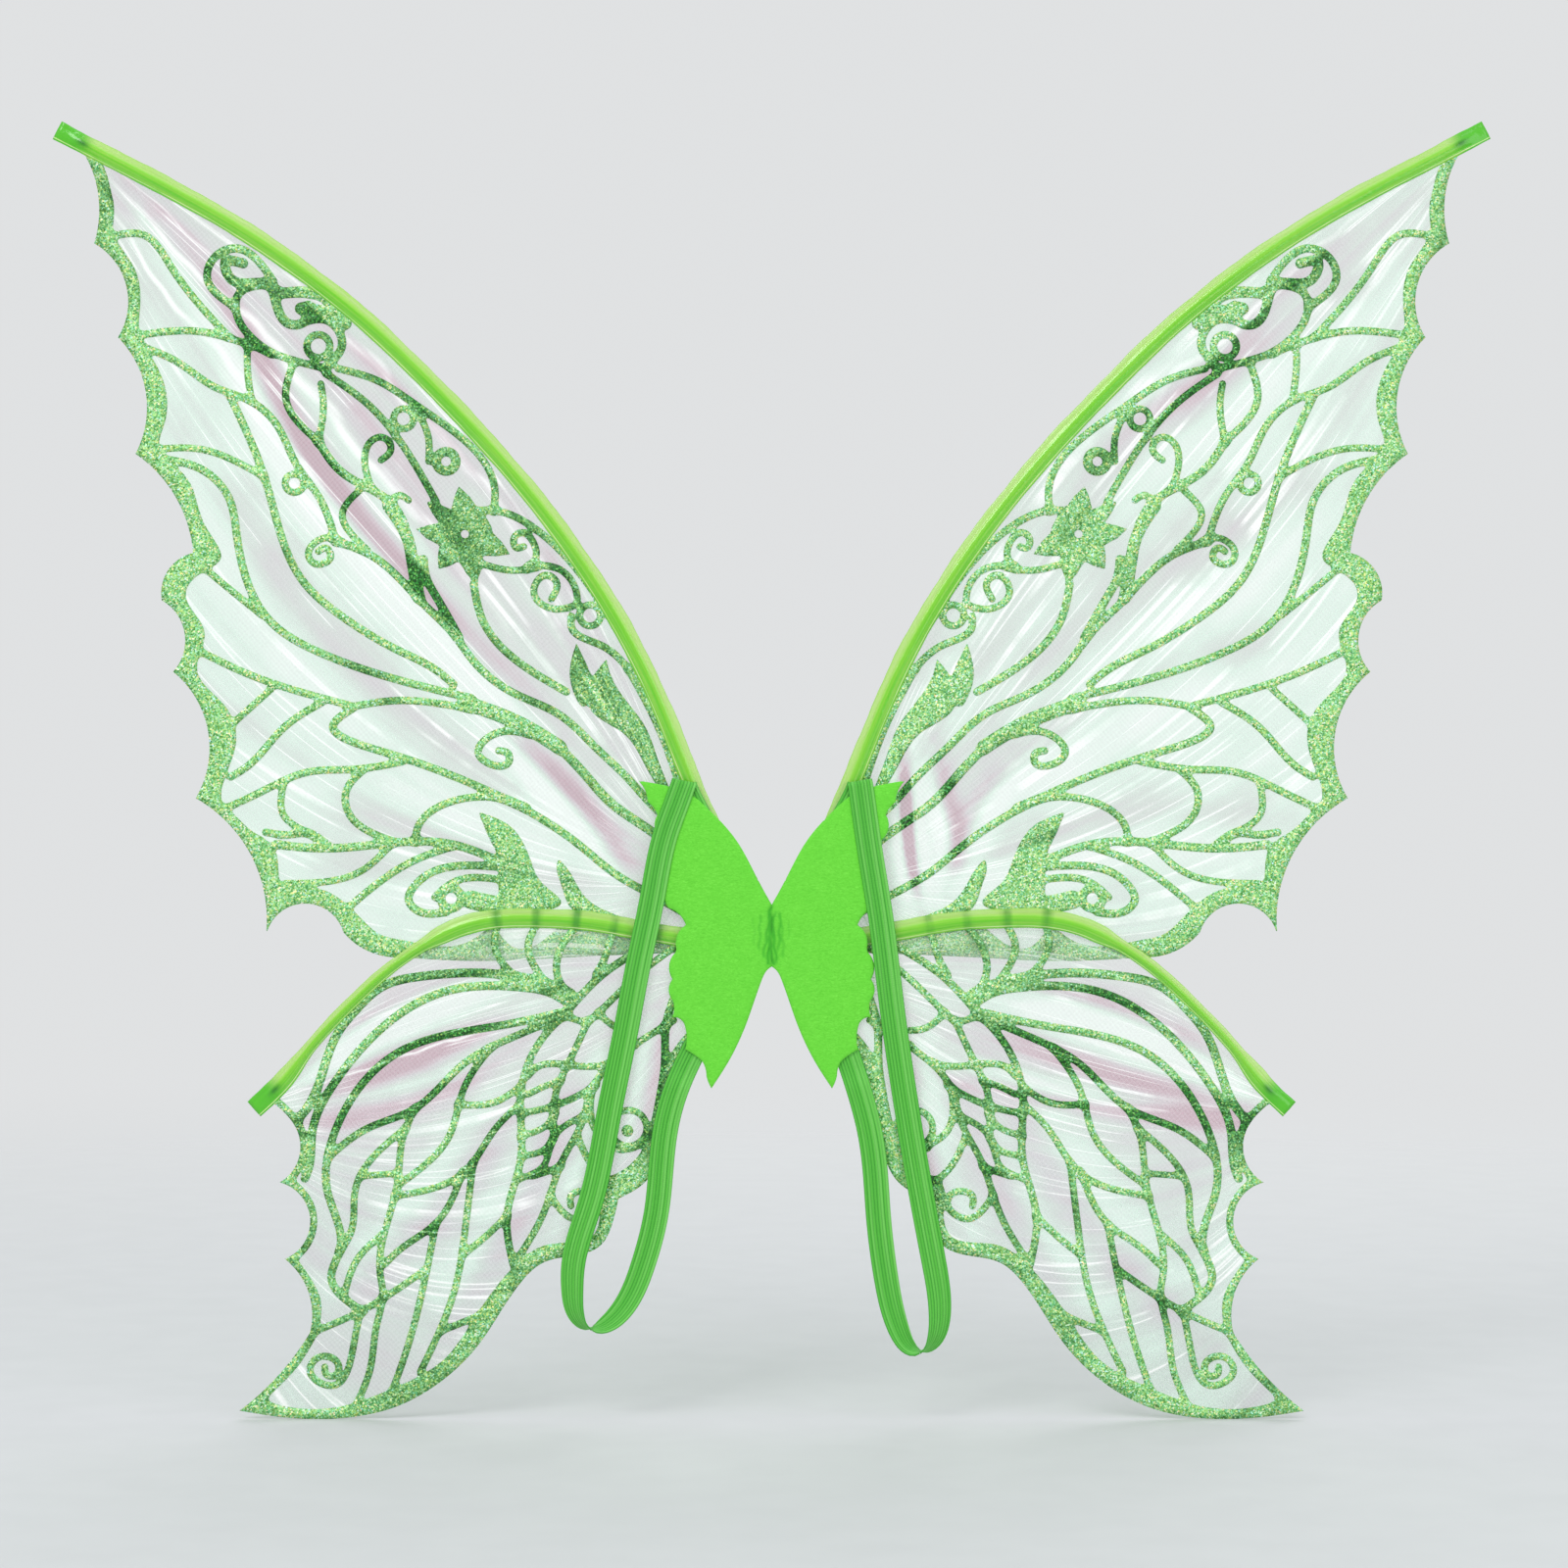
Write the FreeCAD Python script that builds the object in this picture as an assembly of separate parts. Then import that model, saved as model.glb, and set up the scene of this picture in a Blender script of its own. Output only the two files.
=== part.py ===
import FreeCAD
import Part
import math
import os

from FreeCAD import Vector

# Fairy wings: a butterfly-shaped felt back pad, four translucent film wings on
# rod-stiffened sleeves, and two elastic arm loops.
#
# Frame: millimetres. X to the wearer's left-to-right across the wings, Z up,
# Y from the wearer's back out through the pad. The origin is the middle of the
# pad's centre crease, on the face that rests on the wearer's back (y = 0).
# Every wing shape is given for +X and mirrored for -X.

# ---- driving dimensions, front (wearer side) to rear -----------------------
FELT = 1.2            # thickness of each felt layer
STRAP_T = 0.8         # elastic band thickness
STRAP_W = 10.0        # elastic band width
SLEEVE_T = 2.4        # sleeve thickness over its rod
SLEEVE_W = 7.8        # sleeve width, edge seam to edge seam
SLEEVE_WALL = 0.25    # wall of the sleeve over the rod
SLEEVE_EDGE = 0.5     # sleeve thickness at its welded edges
SLEEVE_SEAM = 1.1     # width of each welded edge, where the sleeve is not hollow
ROD_R = 0.9           # spring rod radius
FILM_T = 0.15         # wing film thickness
GAP = 0.05            # clearance between stacked layers

# ---- depth stack, all measured from the wearer-side face -------------------
STRAP_TUCK_Y = FELT + GAP
LOWER_FILM_Y = STRAP_TUCK_Y + STRAP_T + GAP
SLEEVE_Y = LOWER_FILM_Y + FILM_T + GAP
ROD_Y = SLEEVE_Y + SLEEVE_T / 2
UPPER_FILM_Y = SLEEVE_Y + SLEEVE_T + GAP
REAR_FELT_Y = UPPER_FILM_Y + FILM_T + GAP
STRAP_FRONT_Y = -GAP * 2          # rear face of the band where it hangs free

# ---- joints ----------------------------------------------------------------
CREASE_HALF = 2.0     # half width of the strip the two pad halves fold on
FLEX_X = 56.0         # line where the rods spring, just outside the pad
JOINT_GAP = 0.3       # air between two pieces that part at a joint

FAR = 600.0           # longer than any piece, for cutting boxes


# ---- drawing helpers ---------------------------------------------------------
def at(x, z, y=0.0):
    return Vector(x, y, z)


def smooth(points, y=0.0):
    """One spline edge through (x, z) points."""
    curve = Part.BSplineCurve()
    curve.interpolate([at(x, z, y) for x, z in points])
    return curve.toShape()


def straight(points, y=0.0):
    """Straight edges through (x, z) points."""
    ends = zip(points, points[1:])
    return [Part.makeLine(at(*a, y), at(*b, y)) for a, b in ends]


def arcs(points, y=0.0):
    """Arcs from cusp to cusp: points alternate cusp, point on the arc, cusp."""
    edges = []
    for i in range(0, len(points) - 2, 2):
        a, mid, b = (at(*p, y) for p in points[i:i + 3])
        edges.append(Part.Arc(a, mid, b).toShape())
    return edges


def sheet(edges, y, thickness):
    """A flat closed sheet whose front face lies at y."""
    face = Part.Face(Part.Wire(Part.__sortEdges__(edges)))
    face.translate(Vector(0, y, 0))
    return face.extrude(Vector(0, thickness, 0))


def block(x0, x1, y0=-FAR, y1=FAR, z0=-FAR, z1=FAR):
    """A box between two corners."""
    return Part.makeBox(x1 - x0, y1 - y0, z1 - z0, Vector(x0, y0, z0))


def mirrored(shape):
    return shape.mirror(Vector(0, 0, 0), Vector(1, 0, 0))


def save(name, shape):
    """Write one node, and stop if any of its solids is not sound."""
    solids = shape.Solids
    if not solids or not all(s.isValid() and s.Volume > 0 for s in solids):
        raise ValueError("bad solid: " + name)
    shape = solids[0] if len(solids) == 1 else Part.makeCompound(solids)
    shape.exportStep("parts/" + name + ".step")


def save_pair(name, shape):
    """The piece as drawn is on the right; its mirror image is on the left."""
    save("right_" + name, shape)
    save("left_" + name, mirrored(shape))


# ---- outlines ------------------------------------------------------------------
WAIST_TOP = (0, 13)
WAIST_BOTTOM = (0, -11.5)
PAD_HORN = (53, 62.5)
PAD_TAIL = (24, -60)
PAD_TOP_EDGE = [WAIST_TOP, (5, 22), (14, 38.5), (25, 51), (33, 57.5), (41, 60.3), PAD_HORN]
PAD_SIDE_SCALLOPS = [
    PAD_HORN, (49.5, 56), (45.5, 50), (45, 43), (42.2, 37), (41.5, 25), (42.5, 14),
    (39.5, 9.5), (34.3, 5), (38, 0), (38.2, -5), (40, -9), (40, -15), (40.5, -21),
    (39.2, -26), (39, -32), (35, -34), (34.4, -38), (34.5, -44), (30, -47.3),
    (27.5, -50.5), (26.5, -56), PAD_TAIL]
PAD_BOTTOM_EDGE = [PAD_TAIL, (17, -49), (10, -34), (4, -17), (1.5, -12.6), WAIST_BOTTOM]

# Centre lines of the rod sleeves, from inside the pad to the closed tip.
UPPER_SLEEVE = [
    (15, 26), (22, 40), (31, 60), (39, 80), (47.5, 100), (57.5, 120), (70, 141),
    (86, 164), (107, 190), (135, 220), (165, 248.5), (195, 271.5), (225, 290.5),
    (255, 306.5), (285, 322)]
LOWER_SLEEVE = [
    (12, -2.5), (25, -1.5), (38, 0.5), (54, 3.2), (72, 6.3), (92, 7.6), (110, 7.3),
    (124, 4.2), (138, -2.5), (152, -12), (168, -26.5), (184, -43.5), (197, -59.5),
    (206.5, -68.5)]
SLEEVE_TIP = 9.0      # flat closed end of the sleeve beyond the rod

# Scalloped outer edges of the films: cusp, a point on the arc, cusp, ...
UPPER_SCALLOPS = [
    (277, 317), (268.5, 292), (270.5, 277), (257, 256), (261, 239.5), (249.5, 214),
    (254, 193), (240, 179), (231, 153.5), (239, 149), (243.5, 134.5), (234.5, 122),
    (239, 106), (225, 82), (230, 55.5), (208, 33), (202, 0), (190, 13), (171, 2),
    (160, -6), (148, -8)]
UPPER_BOTTOM = [(148, -8), (118, -9.5), (80, -8), (30, -6)]
LOWER_SCALLOPS = [
    (201, -65), (193, -71), (189.5, -76), (188, -86), (196, -97.5), (184, -111),
    (194, -128), (182.3, -150), (212, -188.5)]
LOWER_TAIL = [
    (212, -188.5), (195, -191), (170, -191.3), (150, -187), (130, -175.5),
    (117, -162.5), (100, -137.5), (91, -129.5), (79, -126.8), (68, -122.5), (63.5, -114),
    (61, -104)]
LOWER_INSIDE = [(61, -104), (50, -97), (43.5, -82), (38, -61), (30, -42)]
FILM_ROOT_X = 22.0    # the films end here between the felts
GLUE_INSET = 1.5      # the glue stops short of the crease strip and of the films


# ---- pad -------------------------------------------------------------------------
def pad_layer(y, thickness):
    half = sheet([smooth(PAD_TOP_EDGE), smooth(PAD_SIDE_SCALLOPS), smooth(PAD_BOTTOM_EDGE),
                  *straight([WAIST_BOTTOM, WAIST_TOP])], y, thickness)
    return half.fuse(mirrored(half)).removeSplitter()


def build_pad():
    for side, y in (("front", 0.0), ("rear", REAR_FELT_Y)):
        layer = pad_layer(y, FELT)
        save(side + "_felt_crease", layer.common(block(-CREASE_HALF, CREASE_HALF)))
        save_pair(side + "_felt", layer.common(block(CREASE_HALF + JOINT_GAP, FAR)))


def build_glue():
    """Hot-melt core between the felts, with channels for the sleeves."""
    inner = CREASE_HALF + JOINT_GAP + GLUE_INSET
    outer = FILM_ROOT_X - GLUE_INSET
    outline = [(inner, -11), (inner, 13), (12, 30), (outer, 38), (outer, -46), (11, -28),
               (inner, -11)]
    core = sheet(straight(outline), FELT + GAP, REAR_FELT_Y - FELT - 2 * GAP)
    for path in (UPPER_SLEEVE, LOWER_SLEEVE):
        core = core.cut(swept(path, sleeve_section(SLEEVE_W + 2 * GAP, SLEEVE_T + 2 * GAP,
                                                   SLEEVE_EDGE + 2 * GAP)))
    save_pair("glue_core", core)


# ---- sleeves and rods ---------------------------------------------------------------
def sleeve_section(width, thickness, edge):
    """A flat lens: two arcs closed by short welded edges, centred on the origin."""
    half, crown, lip = width / 2, thickness / 2, edge / 2
    corners = [Vector(half, lip, 0), Vector(-half, lip, 0),
               Vector(-half, -lip, 0), Vector(half, -lip, 0)]
    return Part.Wire([
        Part.Arc(corners[0], Vector(0, crown, 0), corners[1]).toShape(),
        Part.makeLine(corners[1], corners[2]),
        Part.Arc(corners[2], Vector(0, -crown, 0), corners[3]).toShape(),
        Part.makeLine(corners[3], corners[0])])


def swept(points, section):
    """Sweep a section, drawn in its own XY plane, along a sleeve's centre line."""
    spine = smooth(points, ROD_Y)
    start = spine.valueAt(spine.FirstParameter)
    along = spine.tangentAt(spine.FirstParameter)
    depth = Vector(0, 1, 0)
    across = depth.cross(along)
    place = FreeCAD.Matrix(across.x, depth.x, along.x, start.x,
                           across.y, depth.y, along.y, start.y,
                           across.z, depth.z, along.z, start.z,
                           0, 0, 0, 1)
    section = section.transformGeometry(place)
    pipe = Part.BRepOffsetAPI.MakePipeShell(Part.Wire(spine))
    pipe.setBiNormalMode(depth)
    pipe.add(section, False, False)
    pipe.build()
    pipe.makeSolid()
    solid = Part.Solid(pipe.shape())
    return solid if solid.Volume > 0 else solid.reversed()


def shortened(points, length):
    """The same centre line, stopped short of its tip by a length."""
    (x0, z0), (x1, z1) = points[-2:]
    whole = math.hypot(x1 - x0, z1 - z0)
    share = 1 - length / whole
    return points[:-1] + [(x0 + (x1 - x0) * share, z0 + (z1 - z0) * share)]


def root_part(shape):
    """The stretch of a wing piece that stays with the pad."""
    return shape.common(block(-FAR, FLEX_X - JOINT_GAP / 2))


def wing_part(shape):
    """The stretch of a wing piece that springs with the wing."""
    return shape.common(block(FLEX_X + JOINT_GAP / 2, FAR))


def build_frame(wing, path):
    """Rod and sleeve of one wing, each parted where the rod springs."""
    rod_path = shortened(path, SLEEVE_TIP)
    circle = Part.Wire(Part.makeCircle(ROD_R))
    rod = swept(rod_path, circle)
    hollow = swept(rod_path, sleeve_section(SLEEVE_W - 2 * SLEEVE_SEAM, SLEEVE_T - 2 * SLEEVE_WALL,
                                            SLEEVE_EDGE / 2))
    sleeve = swept(path, sleeve_section(SLEEVE_W, SLEEVE_T, SLEEVE_EDGE)).cut(hollow)
    for name, piece in (("rod", rod), ("sleeve", sleeve)):
        save_pair(wing + "_" + name + "_root", root_part(piece))
        save_pair(wing + "_" + name, wing_part(piece))


# ---- films ----------------------------------------------------------------------------
def build_upper_film():
    top = [p for p in UPPER_SLEEVE if FILM_ROOT_X <= p[0] < UPPER_SCALLOPS[0][0]]
    top.append(UPPER_SCALLOPS[0])
    film = sheet([smooth(top), *arcs(UPPER_SCALLOPS), smooth(UPPER_BOTTOM),
                  *straight([UPPER_BOTTOM[-1], (FILM_ROOT_X, 0), top[0]])],
                 UPPER_FILM_Y, FILM_T)
    save_pair("upper_film_root", root_part(film))
    save_pair("upper_film", wing_part(film))


def build_lower_film():
    top = [p for p in LOWER_SLEEVE if FILM_ROOT_X <= p[0] < LOWER_SCALLOPS[0][0]]
    top.append(LOWER_SCALLOPS[0])
    film = sheet([smooth(top), *arcs(LOWER_SCALLOPS), smooth(LOWER_TAIL), smooth(LOWER_INSIDE),
                  *straight([LOWER_INSIDE[-1], (FILM_ROOT_X + 2, -36), top[0]])],
                 LOWER_FILM_Y, FILM_T)
    save_pair("lower_film_root", root_part(film))
    save_pair("lower_film", wing_part(film))


# ---- elastic arm loops -------------------------------------------------------------------
# Each loop is one flat band. It is folded over the pad's top edge, hangs down in
# front, rolls over at the bottom and comes back up under the pad's lower corner.
# The two bands hang a little differently.
LEFT_LOOP = [
    (-38.4, 52), (-42, 42), (-47.8, 14.4), (-52.8, -9.4), (-57.9, -36.3), (-64.9, -71),
    (-72.3, -106), (-78.9, -130), (-79.2, -140), (-76.7, -151), (-73, -154.3),
    (-69, -154.6), (-65, -152.8), (-56.5, -143), (-51, -129.5), (-46, -110),
    (-44.1, -92.8), (-42.5, -78), (-38.9, -63)]
RIGHT_LOOP = [
    (36.6, 52), (38.6, 38), (43.4, 8), (47.4, -24), (54.4, -72), (60.6, -108),
    (64.7, -130), (66.8, -149), (63.5, -161), (60, -163.6), (57, -163.7),
    (50.5, -155.5), (45.8, -137), (42.4, -110), (41.1, -92), (38.8, -76), (36.6, -67)]
LOOP_SECTIONS = 60
ROLL_HALF_LENGTH = 10.0   # band length from edge-on to half rolled
ROLL_REACH = 110.0        # the band is flat again this far from the roll
FOLD_Z = 62.4             # where the band turns over the pad's top edge
FOLD_X = (31, 35, 40)     # inner end, tucked leg and outer end of that turn
LEFT_TOP_SLOPE = 0.36     # sideways run of each band per mm up to its top fold
RIGHT_TOP_SLOPE = -0.14
STEP_Z = -55.5            # where the band dips behind the front felt
TUCK_TOP = (25, 42)       # ends of the tucked stretches, between the felts
TUCK_BOTTOM = (26.5, -36.4)


def roll_angle(distance):
    """Roll of the band at a signed length from the point where it is edge-on."""
    away = abs(distance)
    tail = 90 * (1 - away / (away + ROLL_HALF_LENGTH)) * max(0.0, 1 - away / ROLL_REACH)
    return math.radians(tail if distance < 0 else 180 - tail)


def band_section(centre, along, roll):
    """The band's cross-section, rolled about its own length."""
    outward = Vector(0, -1, 0)
    flat = along.cross(outward)
    across = flat * math.cos(roll) + outward * math.sin(roll)
    normal = outward * math.cos(roll) - flat * math.sin(roll)
    side, face = across * (STRAP_W / 2), normal * (STRAP_T / 2)
    corners = [centre + side + face, centre - side + face,
               centre - side - face, centre + side - face]
    return Part.makePolygon(corners + corners[:1])


def build_loop(name, points):
    """The stretch of band that swings, from the top fold to the lower corner."""
    curve = smooth(points)
    stations = curve.discretize(Number=LOOP_SECTIONS)
    spacing = curve.Length / (LOOP_SECTIONS - 1)
    lowest = min(range(LOOP_SECTIONS), key=lambda i: stations[i].z)
    # Seen from above, each loop rolls with the edge nearest its middle in front.
    turn = -1 if stations[lowest].x < 0 else 1
    sections = []
    for i, centre in enumerate(stations):
        ahead = stations[min(i + 1, LOOP_SECTIONS - 1)]
        behind = stations[max(i - 1, 0)]
        roll = roll_angle((i - lowest) * spacing)
        depth = (STRAP_W * math.sin(roll) + STRAP_T * abs(math.cos(roll))) / 2
        centre = centre + Vector(0, STRAP_FRONT_Y - depth, 0)
        along = (ahead - behind).normalize()
        sections.append(band_section(centre, along, turn * roll))
    save(name, ruled_solid(sections))


def ruled_solid(sections):
    """A closed solid of ruled faces from each closed outline to the next."""
    faces = [Part.Face(sections[0]), Part.Face(sections[-1])]
    for near, far in zip(sections, sections[1:]):
        faces += [Part.makeRuledSurface(a, b) for a, b in zip(near.Edges, far.Edges)]
    shell = Part.makeShell(faces)
    shell.sewShape()
    solid = Part.Solid(shell)
    return solid if solid.Volume > 0 else solid.reversed()


def flat_band(start, end, front, rear):
    """A straight flat stretch of band between two (x, z) points on its centre line."""
    a, b = at(*start, front), at(*end, front)
    across = (b - a).cross(Vector(0, 1, 0)).normalize() * (STRAP_W / 2)
    corners = [a + across, b + across, b - across, a - across, a + across]
    return Part.Face(Part.makePolygon(corners)).extrude(Vector(0, rear - front, 0))


def on_line(start, end, z):
    """The point at height z on a line, all as (x, z)."""
    share = (z - start[1]) / (end[1] - start[1])
    return (start[0] + (end[0] - start[0]) * share, z)


def build_loop_ends(name, side, top, top_slope, bottom):
    """The band's two fixed ends: over the top edge, and under the lower corner.

    top and bottom are where the swinging stretch ends, for the side with x = side.
    """
    hang = (STRAP_FRONT_Y - STRAP_T, STRAP_FRONT_Y)
    tuck = (STRAP_TUCK_Y, STRAP_TUCK_Y + STRAP_T)
    through = (hang[0], tuck[1])
    fold_top = FOLD_Z + STRAP_T / 2
    fold_low = FOLD_Z - STRAP_T / 2
    top_end = (top[0] + top_slope * (fold_top - top[1]), fold_top)
    tuck_top = (side * TUCK_TOP[0], TUCK_TOP[1])
    upper = flat_band(on_line(top, top_end, top[1] + 2 * JOINT_GAP), top_end, *hang)
    inner, leg, outer = (side * x for x in FOLD_X)
    upper = upper.fuse([
        flat_band((leg, fold_top), tuck_top, *tuck),
        block(*sorted((inner, outer)), *through, fold_low, fold_top)])
    tuck_low = (side * TUCK_BOTTOM[0], TUCK_BOTTOM[1])
    step = on_line(bottom, tuck_low, STEP_Z)
    step_end = on_line(bottom, tuck_low, STEP_Z + STRAP_T)
    lower = flat_band(on_line(bottom, tuck_low, bottom[1] + 2 * JOINT_GAP), step_end, *hang)
    lower = lower.fuse([flat_band(step, tuck_low, *tuck), flat_band(step, step_end, *through)])
    save(name, Part.makeCompound([upper.removeSplitter(), lower.removeSplitter()]))


def build_straps():
    build_loop("left_arm_loop", LEFT_LOOP)
    build_loop("right_arm_loop", RIGHT_LOOP)
    build_loop_ends("left_loop_ends", -1, LEFT_LOOP[0], LEFT_TOP_SLOPE, LEFT_LOOP[-1])
    build_loop_ends("right_loop_ends", 1, RIGHT_LOOP[0], RIGHT_TOP_SLOPE, RIGHT_LOOP[-1])


os.makedirs("parts", exist_ok=True)
build_pad()
build_glue()
build_frame("upper", UPPER_SLEEVE)
build_frame("lower", LOWER_SLEEVE)
build_upper_film()
build_lower_film()
build_straps()
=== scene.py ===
import math

import bmesh
import bpy
import numpy as np
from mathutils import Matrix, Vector
from mathutils.geometry import delaunay_2d_cdt


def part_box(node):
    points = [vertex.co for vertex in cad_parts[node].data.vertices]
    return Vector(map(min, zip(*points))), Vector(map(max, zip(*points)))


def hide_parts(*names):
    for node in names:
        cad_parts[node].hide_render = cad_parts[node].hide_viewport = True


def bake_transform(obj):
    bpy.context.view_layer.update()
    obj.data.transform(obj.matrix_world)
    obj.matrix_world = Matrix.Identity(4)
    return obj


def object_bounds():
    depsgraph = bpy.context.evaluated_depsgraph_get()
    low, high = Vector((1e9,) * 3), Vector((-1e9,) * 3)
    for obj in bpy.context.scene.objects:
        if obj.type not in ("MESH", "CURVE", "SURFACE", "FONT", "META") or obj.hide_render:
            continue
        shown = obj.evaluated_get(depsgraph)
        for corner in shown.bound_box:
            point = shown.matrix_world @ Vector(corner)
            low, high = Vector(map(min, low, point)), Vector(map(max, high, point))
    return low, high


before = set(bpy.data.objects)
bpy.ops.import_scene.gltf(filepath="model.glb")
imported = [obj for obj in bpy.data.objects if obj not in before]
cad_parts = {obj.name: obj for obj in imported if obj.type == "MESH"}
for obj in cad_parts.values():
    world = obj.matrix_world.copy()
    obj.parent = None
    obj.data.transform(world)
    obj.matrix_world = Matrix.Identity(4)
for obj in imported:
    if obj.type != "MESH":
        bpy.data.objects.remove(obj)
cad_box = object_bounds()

# Fairy wings. Lengths are in millimetres in the CAD frame: X across, Y from the wearer's
# back outwards, Z up. MM turns them into metres when a mesh is made. Only the stage, the
# depth of bumps and object coordinates are in metres. Wing shapes are given as (x, z) for
# the right side (+X) and mirrored for the left.
MM = 0.001
SIDES = {"left": -1, "right": 1}
WINGS = ("upper", "lower")
FRONT = np.array([0, -1.0, 0])        # towards the wearer


# ==== depth of each layer, from the CAD stack ====
def depth(node):
    """(front, rear) of a CAD node along Y, in mm."""
    low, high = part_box(node)
    return low.y / MM, high.y / MM


FILM_Y = {wing: sum(depth(f"right_{wing}_film")) / 2 for wing in WINGS}
SLEEVE_Y = sum(depth("right_lower_sleeve")) / 2
FELT_Y = {layer: depth(f"right_{layer}_felt") for layer in ("front", "rear")}
FILM_TUCK = 1.4           # the film's edge is welded in this far from a sleeve's middle
FILM_HALF = 0.07          # half the film's thickness
GLITTER_HALF = 0.19       # half the thickness of the glitter coat, film included

# ==== tables ====
# ---- outlines of the wings ----
# The sleeves' centre lines, from the pad to the tip.
SLEEVE = {"upper": [
    (15, 26), (22, 40), (31, 60), (39, 80), (47.5, 100), (57.5, 120), (70, 141), (86, 164),
    (107, 190), (135, 220), (165, 248.5), (195, 271.5), (225, 290.5), (255, 306.5), (285, 322)
], "lower": [
    (12, -2.5), (25, -1.5), (38, 0.5), (54, 3.2), (72, 6.3), (92, 7.6), (110, 7.3), (124, 4.2),
    (138, -2.5), (152, -12), (168, -26.5), (184, -43.5), (197, -59.5), (206.5, -68.5)
]}
# The films' outer edges: cusp, point on the arc, cusp, and so on.
SCALLOPS = {"upper": [
    (277, 317), (268.5, 292), (270.5, 277), (257, 256), (261, 239.5), (249.5, 214), (254, 193),
    (240, 179), (231, 153.5), (239, 149), (243.5, 134.5), (234.5, 122), (239, 106), (225, 82),
    (230, 55.5), (208, 33), (202, 0), (190, 13), (171, 2), (160, -6), (148, -8)
], "lower": [
    (201, -65), (193, -71), (189.5, -76), (188, -86), (196, -97.5), (184, -111), (194, -128),
    (183.9, -143.5), (184, -157.5), (196.5, -174.3), (212, -188.5)
]}
# The rest of the edge, back to the root, as curves of (step, points).
EDGES = {"upper": [
    (2.2, [(148, -8), (118, -9.5), (80, -8), (30, -6)])
], "lower": [
    (1.6, [(212, -188.5), (195, -191), (170, -191.3), (150, -187), (130, -175.5), (117, -162.5),
        (100, -137.5), (91, -129.5), (79, -126.8), (68, -122.5), (63.5, -114), (61, -104)]),
    (1.8, [(61, -104), (50, -97), (43.5, -82), (38, -61), (30, -42)])
]}
FILM_ROOT = {"upper": (22, 0), "lower": (24, -36)}      # the corner inside the pad
FILM_ROOT_X = 22          # the welded edge starts this far out
MARGIN = 6                # room around a film on its grid
FILM_SPACING = 2.6        # between the mesh points of a film,
INK_SPACING = 1.1         # and between those along the print's edges
CLEAR_OF_EDGE = 1.2       # the film's other points keep this far from its outline,
CLEAR_OF_INK = 0.8        # and this far from the print's edges

# ---- glitter print ----
PRINT_SPREAD = 0.4        # every stroke comes out this much wider than its plan
RIM_BAND = {"upper": 4.2, "lower": 2.8}       # the least width of the border
BORDER_PAST = 3           # the border is drawn this far past the film's edge, which trims it
# How round the corners are where the border, veins, rings and leaves run into each other.
RIM_FILLET, VEIN_FILLET, RING_FILLET, LEAF_FILLET = 2.0, 1.8, 1.2, 1.6
# Inner edge of the printed border.
BAND = {"upper": [
    (277, 316), (267, 308), (264.5, 300), (262.5, 290), (263, 283), (255, 268), (252.5, 260),
    (252.5, 243), (244.5, 226), (242.5, 205), (244.5, 196), (239, 189), (232, 181), (226.5, 165),
    (220, 151), (231, 143), (234, 137), (226.5, 122), (229.5, 107), (218, 92), (214, 77),
    (219.5, 54), (207, 42), (199, 36), (197, 28), (196, 22), (188, 20), (178, 18.5), (163, 6.5),
    (156, 1), (148, -1), (118, 0), (112, 3.5), (104, -3.5), (94, -3), (84, 4.5), (60, 5), (30, 2)
], "lower": [
    (199, -66), (188, -74), (187, -86), (190, -96.5), (184, -106), (183, -112), (189, -128.5),
    (181, -141), (184.5, -163.5), (194.5, -176.5), (200.5, -184), (195, -186.5), (152, -180),
    (130, -167.5), (120, -154), (100, -128.5), (90, -122.5), (71, -118.5), (68.5, -108), (68, -98),
    (60, -93), (40, -46), (34, -38)
]}
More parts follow.
